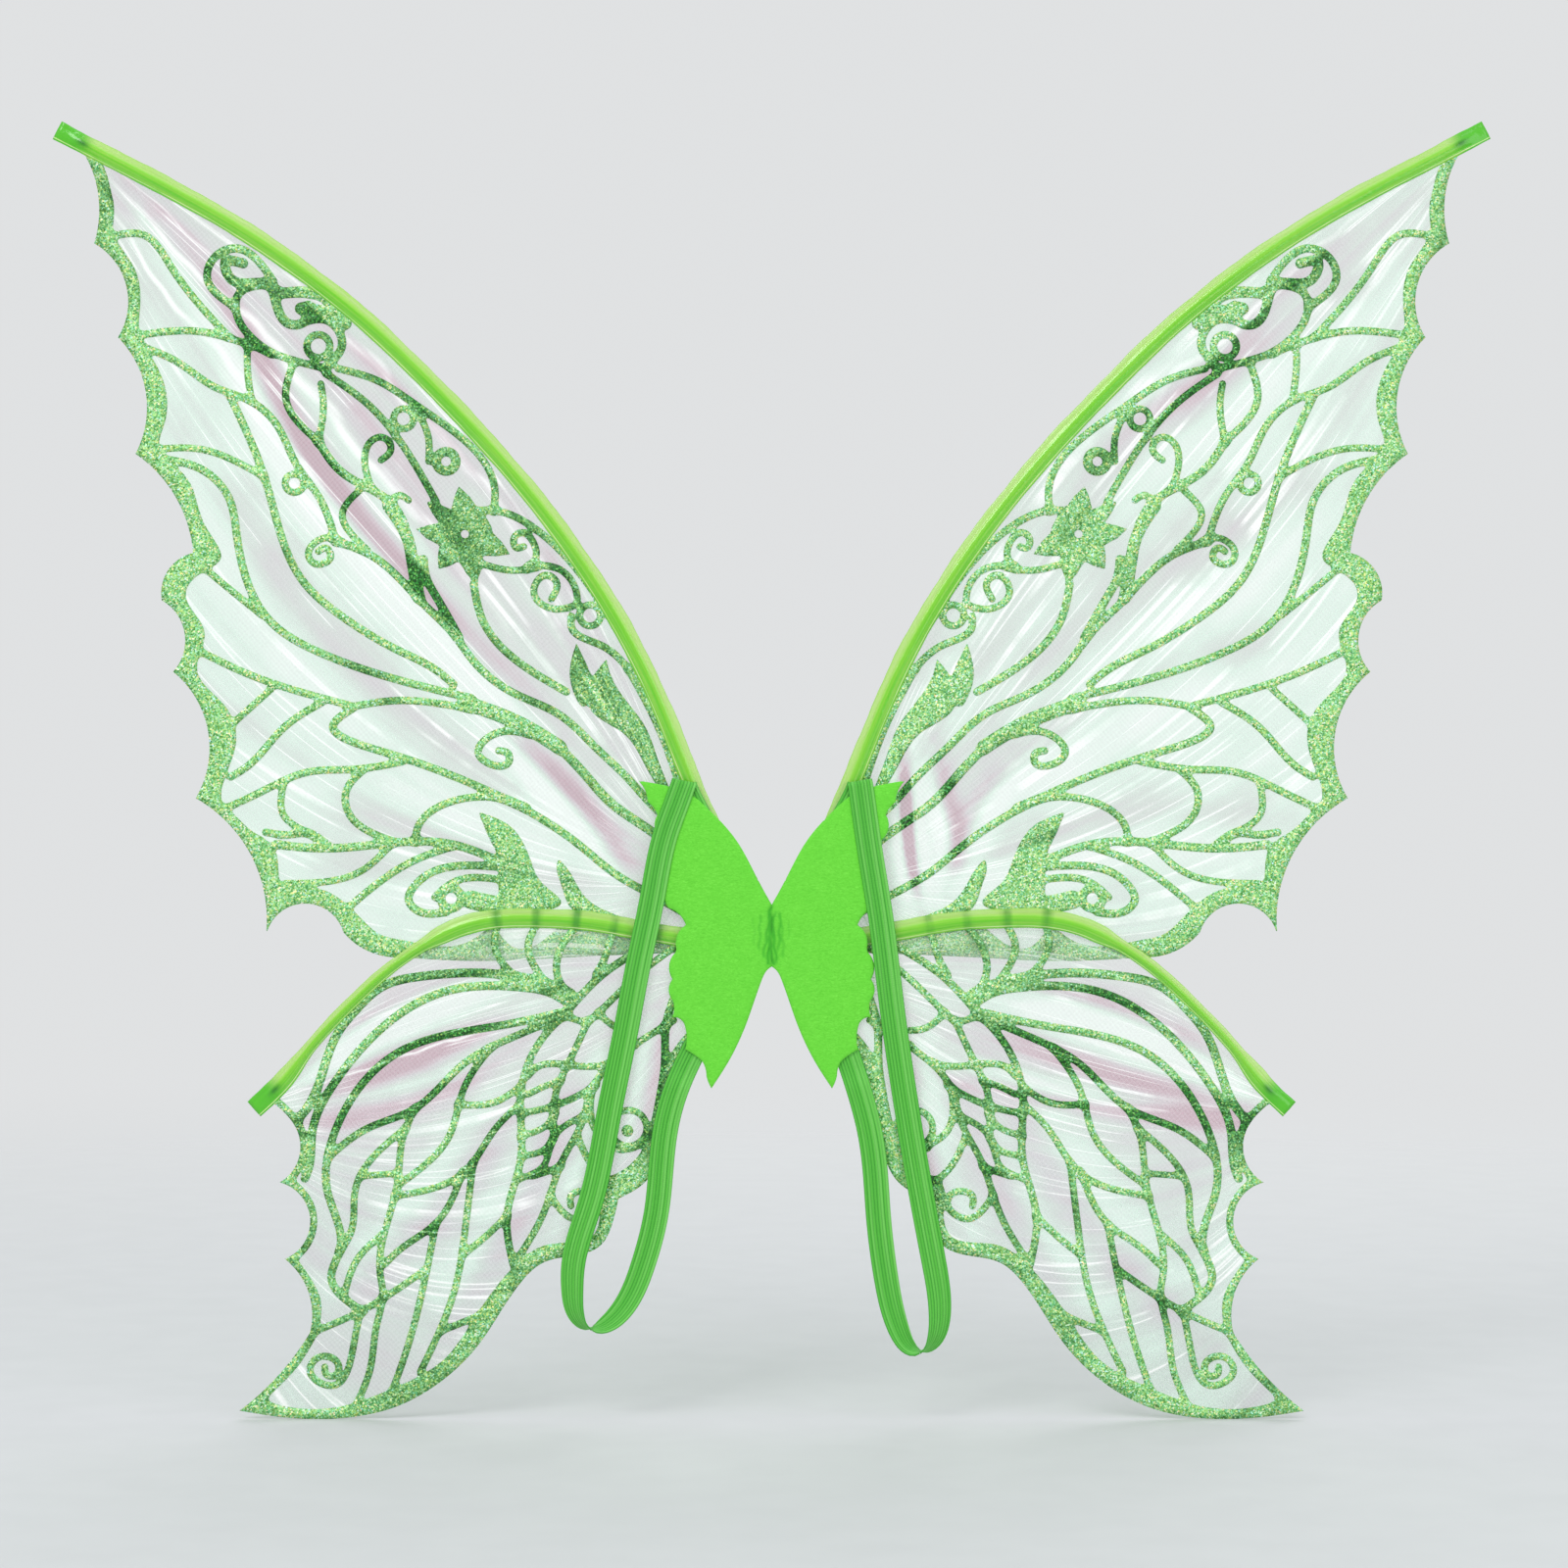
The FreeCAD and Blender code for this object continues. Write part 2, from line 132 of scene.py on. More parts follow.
# (width, points of the centre line), from the border inwards.
VEINS = {"upper": [
    (2.6, [(263, 280), (251, 280.5), (240, 268), (217, 240)]),
    (2.6, [(252, 240.5), (230, 242), (193, 231), (178, 227)]),
    (2.6, [(252, 236), (237, 229.5), (222, 219.5), (209, 214.5), (198, 205), (190, 189),
        (181, 176), (174, 158)]),
    (2.4, [(209.5, 236), (209.5, 228), (208, 215)]),
    (2.8, [(216, 215.5), (202, 182), (187, 142), (170, 127), (150, 115), (133, 106), (127, 101)]),
    (2.4, [(244, 195), (229, 195), (203, 184)]),
    (2.8, [(244, 191), (228, 187), (217, 176), (213.5, 160), (200, 126), (180, 113.5),
        (120, 95.5)]),
    (2.4, [(226, 147), (214, 137), (204, 129)]),
    (2.6, [(191, 229), (194, 215), (181, 198)]),
    (2.4, [(180, 221), (179, 213), (181, 198)]),
    (3.0, [(181, 198), (172, 186), (150, 171), (147, 165)]),
    (2.4, [(165, 178), (171.5, 170), (162, 155)]),
    (2.8, [(174, 158), (160, 152.5), (139, 133), (128, 122), (118, 109), (102, 97), (85, 89),
        (70, 75.5), (57, 63), (49, 54), (38, 44)]),
    (2.4, [(172, 158), (178, 159.5), (185, 152.5), (182, 149), (176, 152.5), (178.5, 155.5),
        (181, 154)]),
    (2.8, [(199, 262), (214, 275), (220, 273.5), (225.5, 264), (215, 252)]),
    (3.6, [(211, 269), (218, 269.5), (216, 263), (203, 261), (198, 258.5)]),
    (2.8, [(203, 261), (213.5, 255.5), (214, 251), (200, 233)]),
    (3.4, [(199, 258), (191, 244.5), (187, 245.5), (185, 252)]),
    (4.0, [(197, 257), (180, 256), (173, 251.5)]),
    (4.5, [(170, 245), (175, 248), (188, 251)]),
    (3.0, [(184, 246.5), (178, 246.5), (171.5, 237), (177, 228.5)]),
    (2.6, [(173, 227), (158, 222.5), (142, 212.5), (110.5, 178), (111, 170)]),
    (2.6, [(178, 225), (162, 213.5), (134, 174)]),
    (2.4, [(142, 211), (137, 199), (137, 190)]),
    (2.4, [(160, 180), (162.5, 192), (160, 198), (155, 199.5), (152, 195), (156, 190.5)]),
    (2.4, [(145, 174.5), (149, 176.5), (152, 174)]),
    (4.4, [(153, 172), (145, 158), (143.5, 150), (141, 136)]),
    (3.0, [(139, 151), (138, 144), (134, 136), (125, 120)]),
    (2.8, [(119, 141), (116, 128), (82, 98)]),
    (2.6, [(120, 170), (112, 170.5), (93, 162), (60, 120)]),
    (2.4, [(97.5, 147), (94, 152.5), (100.5, 161.5), (103, 159), (102, 155.5), (99, 156)]),
    (2.4, [(94, 147.5), (104, 146.5), (118, 150)]),
    (2.4, [(97, 148.5), (84, 146.5), (78, 138), (77.5, 133)]),
    (2.4, [(80, 132), (86, 131), (95, 138), (90, 144.5), (86, 142), (88, 135)]),
    (2.6, [(80, 128), (80, 124), (68, 116.5), (57, 107)]),
    (3.0, [(57, 107), (45.5, 85), (34, 52)]),
    (5.5, [(122, 93.5), (100, 85), (85, 76)]),
    (3.4, [(85, 76), (75, 65.5), (64, 53.5), (52, 45), (37, 34)]),
    (2.6, [(168, 92), (150, 94.5), (120, 91)]),
    (2.6, [(97, 81), (111, 81), (117, 73), (105, 70), (105, 73), (109, 74.5)]),
    (2.8, [(168, 91), (175, 85), (155, 74), (130, 65.5), (77, 37), (62, 25), (46, 16), (34, 9)]),
    (2.6, [(228, 114), (210, 105.5), (170, 93)]),
    (2.4, [(200, 99), (210, 90), (215, 85.5)]),
    (2.6, [(180, 93.5), (195, 83.5), (209, 68.5), (216, 64)]),
    (2.6, [(148, 70), (168, 67), (185, 66), (203, 58.5), (219, 51)]),
    (2.6, [(164, 66), (170, 58), (169.5, 51), (152, 38.5)]),
    (2.4, [(195, 61), (195, 49), (184, 41), (178, 37)]),
    (2.6, [(98, 52), (113, 56), (142, 41), (142, 38)]),
    (3.0, [(110, 31), (127, 37), (178, 35.5), (198, 37)]),
    (2.4, [(152, 37), (163, 27), (194, 21.5)]),
    (2.6, [(202, 42), (192, 41), (185, 41.5), (178, 37)]),
    (2.6, [(128, 36), (142, 31), (170, 11)]),
    (2.8, [(108, 28), (143, 20), (145, 15), (142, 11), (130, 10)]),
    (2.6, [(108, 23), (127, 22), (134.5, 16)]),
    (7.0, [(93, 12), (104, 12), (120, 15)])
], "lower": [
    (3.2, [(80, -22), (100, -16), (140, -15.5), (156, -20), (165, -28), (173, -38), (184, -66),
        (190, -74)]),
    (3.0, [(88, -21), (130, -21.5), (175, -59), (183, -77), (184.5, -92), (186, -96)]),
    (2.8, [(85, -30), (105, -34.5), (150, -46.5), (175, -80), (177, -101), (172, -124),
        (175.5, -135), (163, -149)]),
    (2.6, [(82, -31), (105, -40.5), (123, -50.5), (142, -68), (162, -76.5), (176, -87)]),
    (2.4, [(142, -68), (147, -80), (149, -97), (156, -134), (155, -141), (157.5, -155),
        (160, -172), (165, -185)]),
    (2.4, [(146, -76), (166, -101), (167.5, -117), (172, -125)]),
    (2.4, [(112, -44), (123, -61), (128, -78), (148, -98)]),
    (2.4, [(125, -66.5), (110, -65.5), (101, -60)]),
    (2.6, [(82, -30), (92, -41), (100, -62), (100, -88), (105.5, -111), (103, -130)]),
    (2.4, [(101, -67), (110, -76), (122, -93), (150, -103)]),
    (2.4, [(119, -90), (122, -115), (126, -139), (140, -173)]),
    (2.4, [(123, -93), (134, -114), (149, -125), (154, -130)]),
    (2.4, [(134, -115), (146, -166), (151, -180)]),
    (2.4, [(139, -133), (163, -148.5), (181, -156.5)]),
    (2.4, [(156, -119), (165, -128), (170, -141)]),
    (2.4, [(164, -149), (166.5, -162), (175.5, -178.5), (184, -172.5), (180, -167),
        (172.5, -170.5), (174, -174.5), (177.5, -174), (178, -171)]),
    (2.4, [(105.5, -111), (115, -120), (122.5, -126)]),
    (2.4, [(113, -149), (120, -152), (131, -156.5)]),
    (2.2, [(150, -94), (157, -94.5), (163, -95)]),
    (2.8, [(40, 3), (48.5, -2.5), (66.5, -14), (82, -30)]),
    (2.4, [(39, -4), (51, -13), (69, -30), (73, -33), (82, -31)]),
    (2.8, [(39, -24), (42, -34), (42.5, -46), (49, -86)]),
    (2.4, [(39, -33), (48, -38.5), (55, -43)]),
    (2.4, [(73, -33), (81, -50), (86, -62), (87, -77)]),
    (2.4, [(55, -37), (60, -36.5), (69, -30)]),
    (2.4, [(55, -43), (65, -50), (79, -51), (94, -52), (97, -55)]),
    (2.4, [(64, -50), (72, -61), (75, -72), (83, -88), (91, -110), (102, -129)]),
    (2.4, [(70, -59), (85, -66.5), (99, -70)]),
    (2.2, [(84, -57), (91, -59.5), (97, -62.5)]),
    (2.2, [(86, -70), (90, -75), (100, -79)]),
    (2.2, [(75, -71), (87, -80), (91, -91), (100, -96)]),
    (2.2, [(87, -80), (90, -84), (99, -87)]),
    (2.2, [(84, -91), (90, -93.5), (95, -95)]),
    (2.4, [(60, -84), (70, -77), (72, -61)]),
    (2.4, [(64, -98), (70, -93), (77, -80)]),
    (2.4, [(50, -80), (56, -84), (62, -84)]),
    (2.4, [(88, -103), (77, -112), (70, -105.5), (72, -102), (80, -103), (80, -107)]),
    (2.6, [(77, 5), (80, 2), (85.5, -14.5), (82, -22)]),
    (2.6, [(93, 6), (97, -2.5), (90, -18)]),
    (2.6, [(109, 6), (110.5, -2.5), (101, -17)]),
    (2.6, [(61, 5), (63.5, 1), (66.5, -8), (70, -14.5)]),
    (5.5, [(82, -24), (92, -19), (104, -17)])
]}
# (x, z, radius, width)
RINGS = {"upper": [
    (190.6, 181.3, 3.7, 2.4), (181, 236, 4.6, 2.6), (147, 207, 4.0, 2.4), (130, 190, 3.9, 3.4),
    (72.5, 128.5, 4.2, 2.4), (128, 15.5, 4.0, 3.0)
], "lower": [
    (57, -76, 7.2, 2.4), (57.5, -77, 1.0, 2.4)
]}
LEAVES = {"upper": [
    [(78, 117.5), (80.5, 108), (79.5, 99), (75, 92), (71.5, 99), (73.5, 108)],
    [(66, 111), (72, 103), (74, 97), (73, 92), (60, 82), (48, 64), (39, 52), (45, 70), (51, 85),
     (60, 97), (64, 104)],
    [(117, 50), (112, 38), (109, 31), (108, 14), (96, 10), (84, 14), (92, 22), (96, 30), (104, 44)],
    [(85.2, 31.2), (85.9, 28), (84, 21), (79.5, 11), (58, 7), (70, 12.5), (77.5, 20.5), (82.8, 29)]
], "lower": []}
FLOWER_CENTRE = (122.5, 161)
FLOWER_TIPS = [(142, 163), (138, 174), (125, 180), (113, 166), (104.5, 153), (118, 141),
    (133, 147)]
FLOWER_VALLEY_R = 11.2
FLOWER_HOLE_R = 1.7
PETAL_BULGE = 0.5         # where a petal's shoulders are, from the valley to its tip
PETAL_WIDTH = 0.42        # and how far they are turned towards the next valley

# ---- how the films hang and shine ----
# The points between which each film is pulled tight.
PULL = {"upper": ((288, 326), (30, 22)), "lower": ((212, -70), (28, -14))}
# The furthest a film hangs forwards and backwards of its own plane.
DRAPE_LIMITS = {"upper": (-0.03, 3.5), "lower": (-1.2, 1.6)}
WELD_GAP = (4, 9)         # a film leaves its sleeve's plane between these distances from it
SLACK_GAP = (6, 26)       # and hangs freely from here on,
SLACK_X = (38, 75)        # if it is this far out
FOLD_LIFT = 1.3           # how far forwards a fold is, per mm of its height
SAG = 0.5                 # how far a film hangs back where it has no fold
FOLD_SHINE = 1.35 / 1.4   # how much painted light a fold's slopes gain and lose per mm of its height
# How much painted light a film has beside its sleeve, and how much more it gets further away.
FILM_LIGHT = {("left", "upper"): (0.48, 0.22), ("right", "upper"): (0.60, 0.12),
              ("left", "lower"): (0.48, 0.06), ("right", "lower"): (0.51, 0.06)}
LIGHT_GAP = (5, 70)       # its painted light grows between these distances,
FOLD_GAP = (2, 9)         # and the painted light of its folds starts to show between these
# How much less a film covers beside its sleeve, where the other film's border shows.
THIN_VEIL = {"upper": 0, "lower": 0.62}
VEIL_GAP = (17, 11)       # how far from the sleeve, and how far out, it is that thin
VEIL_X = (165, 140)
FILM_SHADE = 0.4          # how much of a film's cover counts where it throws a shadow
# Added to how far along a tension line a point is, which tells the materials the film.
FILM_CODE = {("left", "upper"): 0, ("right", "upper"): 3, ("left", "lower"): 6,
             ("right", "lower"): 9}
# Painted highlights along creases of each film: (which tension line, from, to, half width).
GLEAMS = {("left", "upper"): [(0.37, 0.03, 0.80, 0.030), (0.10, 0.05, 0.74, 0.036),
                              (-0.12, 0.08, 0.45, 0.026), (0.24, 0.05, 0.30, 0.018)],
          ("right", "upper"): [(0.30, 0.04, 0.50, 0.024), (-0.10, 0.06, 0.36, 0.022)],
          ("left", "lower"): [(0.06, 0.03, 0.60, 0.026)],
          ("right", "lower"): [(0.05, 0.03, 0.55, 0.026)]}
# Tension folds, each (half width, height, points): a ridge with a side of painted light and a side
# of painted shade, which shows pink. A minus sign on the half width swaps the two sides.
FOLDS = {("left", "upper"): [
    (7, 1.7, [(246, 284), (211, 233), (188, 190), (167, 163), (88, 82)]),
    (6, 1.5, [(112, 86), (71, 42), (56, 22)]),
    (-5, 0.5, [(252, 300), (100, 172), (54, 100)]),
    (7, 0.5, [(196, 236), (160, 190), (132, 150), (100, 112)]),
    (12, 0.5, [(232, 190), (196, 130), (96, 46)]),
    (-10, 0.4, [(205, 60), (160, 52), (60, 22)]),
    (8, 0.4, [(190, 24), (150, 22), (60, 12)])
], ("right", "upper"): [
    (-7, 0.5, [(266, 306), (200, 262), (160, 230)]),
    (10, 0.5, [(252, 268), (180, 214), (140, 180)]),
    (-8, 0.8, [(200, 258), (176, 232), (150, 214), (118, 186)]),
    (14, 0.6, [(240, 180), (196, 160), (150, 128), (100, 90)]),
    (12, 0.5, [(226, 120), (180, 108), (70, 50)]),
    (-3.2, 1.5, [(50, 74), (53.5, 30), (57, 12)]),
    (3.2, 1.3, [(55, 72), (57.5, 36), (60, 18)]),
    (-5, 1.2, [(64, 74), (67, 56), (71, 40), (69, 22)]),
    (6, 0.8, [(98, 70), (86, 54), (74, 26)]),
    (10, 0.6, [(205, 40), (160, 44), (118, 36), (66, 22)])
], ("left", "lower"): [
    (10, 1.5, [(96, -22), (156, -46), (194, -64)]),
    (-5, 0.9, [(100, -16), (130, -20), (190, -58)]),
    (6, 0.9, [(90, -30), (124, -54), (196, -72)]),
    (9, 0.5, [(92, -40), (120, -84), (178, -150)]),
    (8, 0.5, [(82, -44), (98, -92), (140, -166)]),
    (6, 0.7, [(66, -36), (64, -62), (82, -112)]),
    (5, 0.7, [(46, -30), (48, -48), (58, -88)])
], ("right", "lower"): [
    (9, 1.6, [(88, -30), (160, -56), (200, -66)]),
    (5, 1.0, [(60, -50), (140, -66), (196, -70)]),
    (-5, 0.9, [(96, -22), (130, -28), (194, -62)]),
    (9, 0.5, [(90, -50), (146, -128), (176, -158)]),
    (7, 0.4, [(78, -52), (92, -92), (134, -160)]),
    (6, 0.7, [(56, -32), (66, -90), (76, -114)]),
    (-5, 0.6, [(44, -28), (50, -70), (60, -92)])
]}

# ---- felt pad, right half ----
PAD_TOP_EDGE = [(0, 13), (5, 22), (14, 38.5), (25, 51), (33, 57.5), (41, 60.3), (53, 62.5)]
PAD_SCALLOPS = [(53, 62.5), (50.6, 59), (49.3, 54), (47.2, 51.9), (45.4, 49), (46.6, 45.5),
    (43.2, 38.5), (42, 33), (41.8, 26), (43.6, 17.5), (41, 11.8), (37.2, 9.6), (34.2, 5),
    (37, 2.2), (38.2, -3), (38, -4.5), (38.4, -6), (40.9, -11.5), (39.5, -16.5), (41, -20.5),
    (39.4, -25), (38.9, -28.2), (39.7, -31.8), (36.4, -32.4), (34.7, -34.6), (33.9, -39),
    (34.4, -44.5), (31.2, -46.4), (27.8, -49), (26.4, -52), (26, -55), (25.2, -57.6), (24, -60)]
PAD_BOTTOM_EDGE = [(24, -60), (17, -49), (10, -34), (4, -17), (1.5, -12.6), (0, -11.5)]
SEAM_X = 0.5              # no loose mesh points nearer to the middle than this
CREASE_REACH = 8          # the mesh is fine up to this far from the middle
CREASE_LOW, CREASE_HIGH = -11.5, 13.5         # and between these heights
FELT_SPACING = 1.5        # between the felt's mesh points,
FINE_SPACING = 0.5        # and between those around the crease
BEVEL = 0.8               # how wide the felt's rounded edge is
# Wrinkles beside the fold line: (x where it starts, lean, lowest z, highest z, depth).
CREASES = [(-1.6, 0.1, -10, 2, 0.52), (-3.2, 0.16, -7, 8, 0.44), (-4.9, 0.02, -4, 8, 0.32),
    (1.8, -0.12, -9, 4, 0.5), (2.8, 0.05, -4, 9, 0.44), (4.7, -0.06, -7, 4, 0.3),
    (-0.9, 0.32, 3, 9, 0.44), (0.8, -0.3, -10, -5, 0.44), (-6.8, -0.06, -2, 7, 0.2),
    (6.6, 0.08, 0, 6, 0.2)]

# ---- arm straps, as they hang at rest, each on its own side ----
LOOP = {"left": [
    (-38.4, 52), (-42, 42), (-47.8, 14.4), (-52.8, -9.4), (-57.9, -36.3), (-64.9, -71),
    (-72.3, -106), (-78.9, -130), (-79.2, -140), (-76.7, -151), (-73, -154.3), (-69, -154.6),
    (-65, -152.8), (-56.5, -143), (-51, -129.5), (-46, -110), (-44.1, -92.8), (-42.5, -78),
    (-38.9, -63)
], "right": [
    (36.6, 52), (38.6, 38), (43.4, 8), (47.4, -24), (54.4, -72), (60.6, -108), (64.7, -130),
    (66.8, -149), (63.5, -161), (60, -163.6), (57, -163.7), (50.5, -155.5), (45.8, -137),
    (42.4, -110), (41.1, -92), (38.8, -76), (36.6, -67)
]}
LOOP_TURN = {"left": -1, "right": 1}          # which way a loop rolls over
LOOP_SLOPE = {"left": 0.36, "right": -0.14}   # sideways per mm up, above the loop's first point
STRAP_W = 10
STRAP_T = 0.7
STRAP_RIBS = 8
STRAP_REAR_Y = -0.1       # rear face of a strap where it hangs free
TUCK_Y = 1.65             # middle of a strap where it is tucked behind the front felt
LEG_TOP = 61.2            # the hanging front leg ends here, in a turn over the pad's edge
FRONT_BEND_Z = 56.4       # start of a bend of the front leg, which is worked out but not used
FRONT_BEND_DROP = 38      # over this height, or over a sixth of that forwards
TUCK_TOP = (26, 43)       # where the band's two ends are, behind the front felt
TUCK_BOTTOM = (26.5, -36.4)
TUCK_Z = (-60, -52.5)     # the lower end goes in behind the felt between these heights
RETURN_BEND = (-62, -96)  # and a bend of the leg below it between these is worked out but not used
ROLL_REACH = 110          # a strap starts to roll over this far from its lowest point,
ROLL_HALF = 10            # and is about halfway over at this distance
GROOVE = 0.16             # how deep each face's grooves are,
RIB = 0.22                # how far the ribs stand out of them,
STRAP_EDGE = 0.12         # and half the thickness of the band's edges

# ---- sleeves and rods ----
SLEEVE_HALF = 3.9
# (place across, half thickness) from a sleeve's inner edge to its outer one.
SLEEVE_PROFILE = [
    (-3.9, 0.22), (-3.5, 0.28), (-3.15, 0.46), (-2.9, 0.5), (-2.65, 0.42), (-2.3, 0.62),
    (-1.6, 0.95), (-0.8, 1.14), (0, 1.18), (0.7, 1.1), (1.3, 0.85), (1.7, 0.55), (2.0, 0.34),
    (2.25, 0.42), (2.6, 0.36), (3.2, 0.3), (3.9, 0.2)]
PINCH = (130, 184)        # the lower sleeve is twisted narrow between these X
PINCH_RUN = 11            # it narrows and widens again over this run,
PINCH_DEPTH = 0.36        # by this share of its width
TIP_PRESSED = (4, 11)     # a sleeve gets thinner between these distances from its tip,
TIP_DARK = (17, 9)        # and darker between these
ROD_SPOT = (11.5, 2.6, 1.1)      # where the rod's end shows: from the tip, length, width
WAVY_FROM = (-3.3, 1.9)   # the strips at a sleeve's edges, which are wavy, start here
VEIN_LOOK_IN = 3          # the print is looked up this far inside the sleeve's centre line
SLEEVE_VEINS_TO = {"upper": 0, "lower": 130}     # veins show through a sleeve up to this X
ROD_R = 0.85
ROD_SHORT = 9             # a rod ends this far before its sleeve's tip


# ==== curves and fields ====
def unit(vectors):
    return vectors / np.linalg.norm(vectors, axis=1)[:, None]


def outward(path):
    """Unit normals to the left of a path's direction of travel, as seen from the front."""
    along = np.gradient(path, axis=0)
    return unit(np.column_stack([-along[:, 1], along[:, 0]]))


def lengths(points):
    """How far along a polyline each of its points is."""
    return np.r_[0, np.cumsum(np.linalg.norm(np.diff(points, axis=0), axis=1))]


def smoothstep(a, b, t):
    """0 up to a, 1 from b on; a may be the larger, for a falling step."""
    t = np.clip((t - a) / (b - a), 0, 1)
    return t * t * (3 - 2 * t)


def bell(offset, width):
    return np.exp(-(offset / width) ** 2)


def circle(count):
    """Points on the unit circle. The last one is the first one again."""
    angles = np.linspace(0, math.tau, count)
    return np.column_stack([np.cos(angles), np.sin(angles)])


def curve_through(points, step):
    """Points about step apart on a natural cubic spline through the given ones."""
    points = np.array(points, float)
    chord = lengths(points)
    count = len(points)
    gap = np.diff(chord)
    matrix = np.eye(count)
    bend = np.zeros_like(points)
    for i in range(1, count - 1):
        matrix[i, i - 1:i + 2] = gap[i - 1], 2 * (gap[i - 1] + gap[i]), gap[i]
        bend[i] = 6 * ((points[i + 1] - points[i]) / gap[i]
                       - (points[i] - points[i - 1]) / gap[i - 1])
    second = np.linalg.solve(matrix, bend)
    t = np.linspace(0, chord[-1], max(2, math.ceil(chord[-1] / step) + 1))
    k = np.clip(np.searchsorted(chord, t, side="right") - 1, 0, count - 2)
    h = gap[k][:, None]
    a = (chord[k + 1] - t)[:, None] / h
    b = 1 - a
    return (a * points[k] + b * points[k + 1]
            + ((a ** 3 - a) * second[k] + (b ** 3 - b) * second[k + 1]) * h * h / 6)


def arc_through(start, middle, end, step):
    """Points on the circle arc through three points."""
    a, m, b = (np.array(p, float) for p in (start, middle, end))
    centre = np.linalg.solve(2 * np.array([m - a, b - a]), [m @ m - a @ a, b @ b - a @ a])
    radius = np.linalg.norm(a - centre)
    angle_a, angle_m, angle_b = (math.atan2(*(p - centre)[::-1]) for p in (a, m, b))
    turn = (angle_b - angle_a) % math.tau
    if (angle_m - angle_a) % math.tau > turn:
        turn -= math.tau
    steps = max(2, math.ceil(abs(turn) * radius / step))
    angles = angle_a + np.linspace(0, turn, steps + 1)
    return centre + radius * np.column_stack([np.cos(angles), np.sin(angles)])


def scallops(points, step):
    """Arcs from cusp to cusp: points alternate cusp, point on the arc, cusp."""
    arcs = [arc_through(*points[i:i + 3], step)[:-1] for i in range(0, len(points) - 2, 2)]
    return np.vstack(arcs + [np.array([points[-1]], float)])


def dense(points, step):
    """The same polyline with points no further apart than step."""
    out = []
    for a, b in zip(points, points[1:]):
        count = max(1, math.ceil(np.linalg.norm(b - a) / step))
        out.append(a + (b - a) * np.arange(count)[:, None] / count)
    return np.vstack(out + [points[-1:]])


def even_loop(loop, spacing):
    """A closed loop resampled at about the given spacing."""
    loop = np.vstack([loop, loop[:1]])
    length = lengths(loop)
    count = max(6, round(length[-1] / spacing))
    t = np.arange(count) * length[-1] / count
    return np.column_stack([np.interp(t, length, loop[:, k]) for k in (0, 1)])


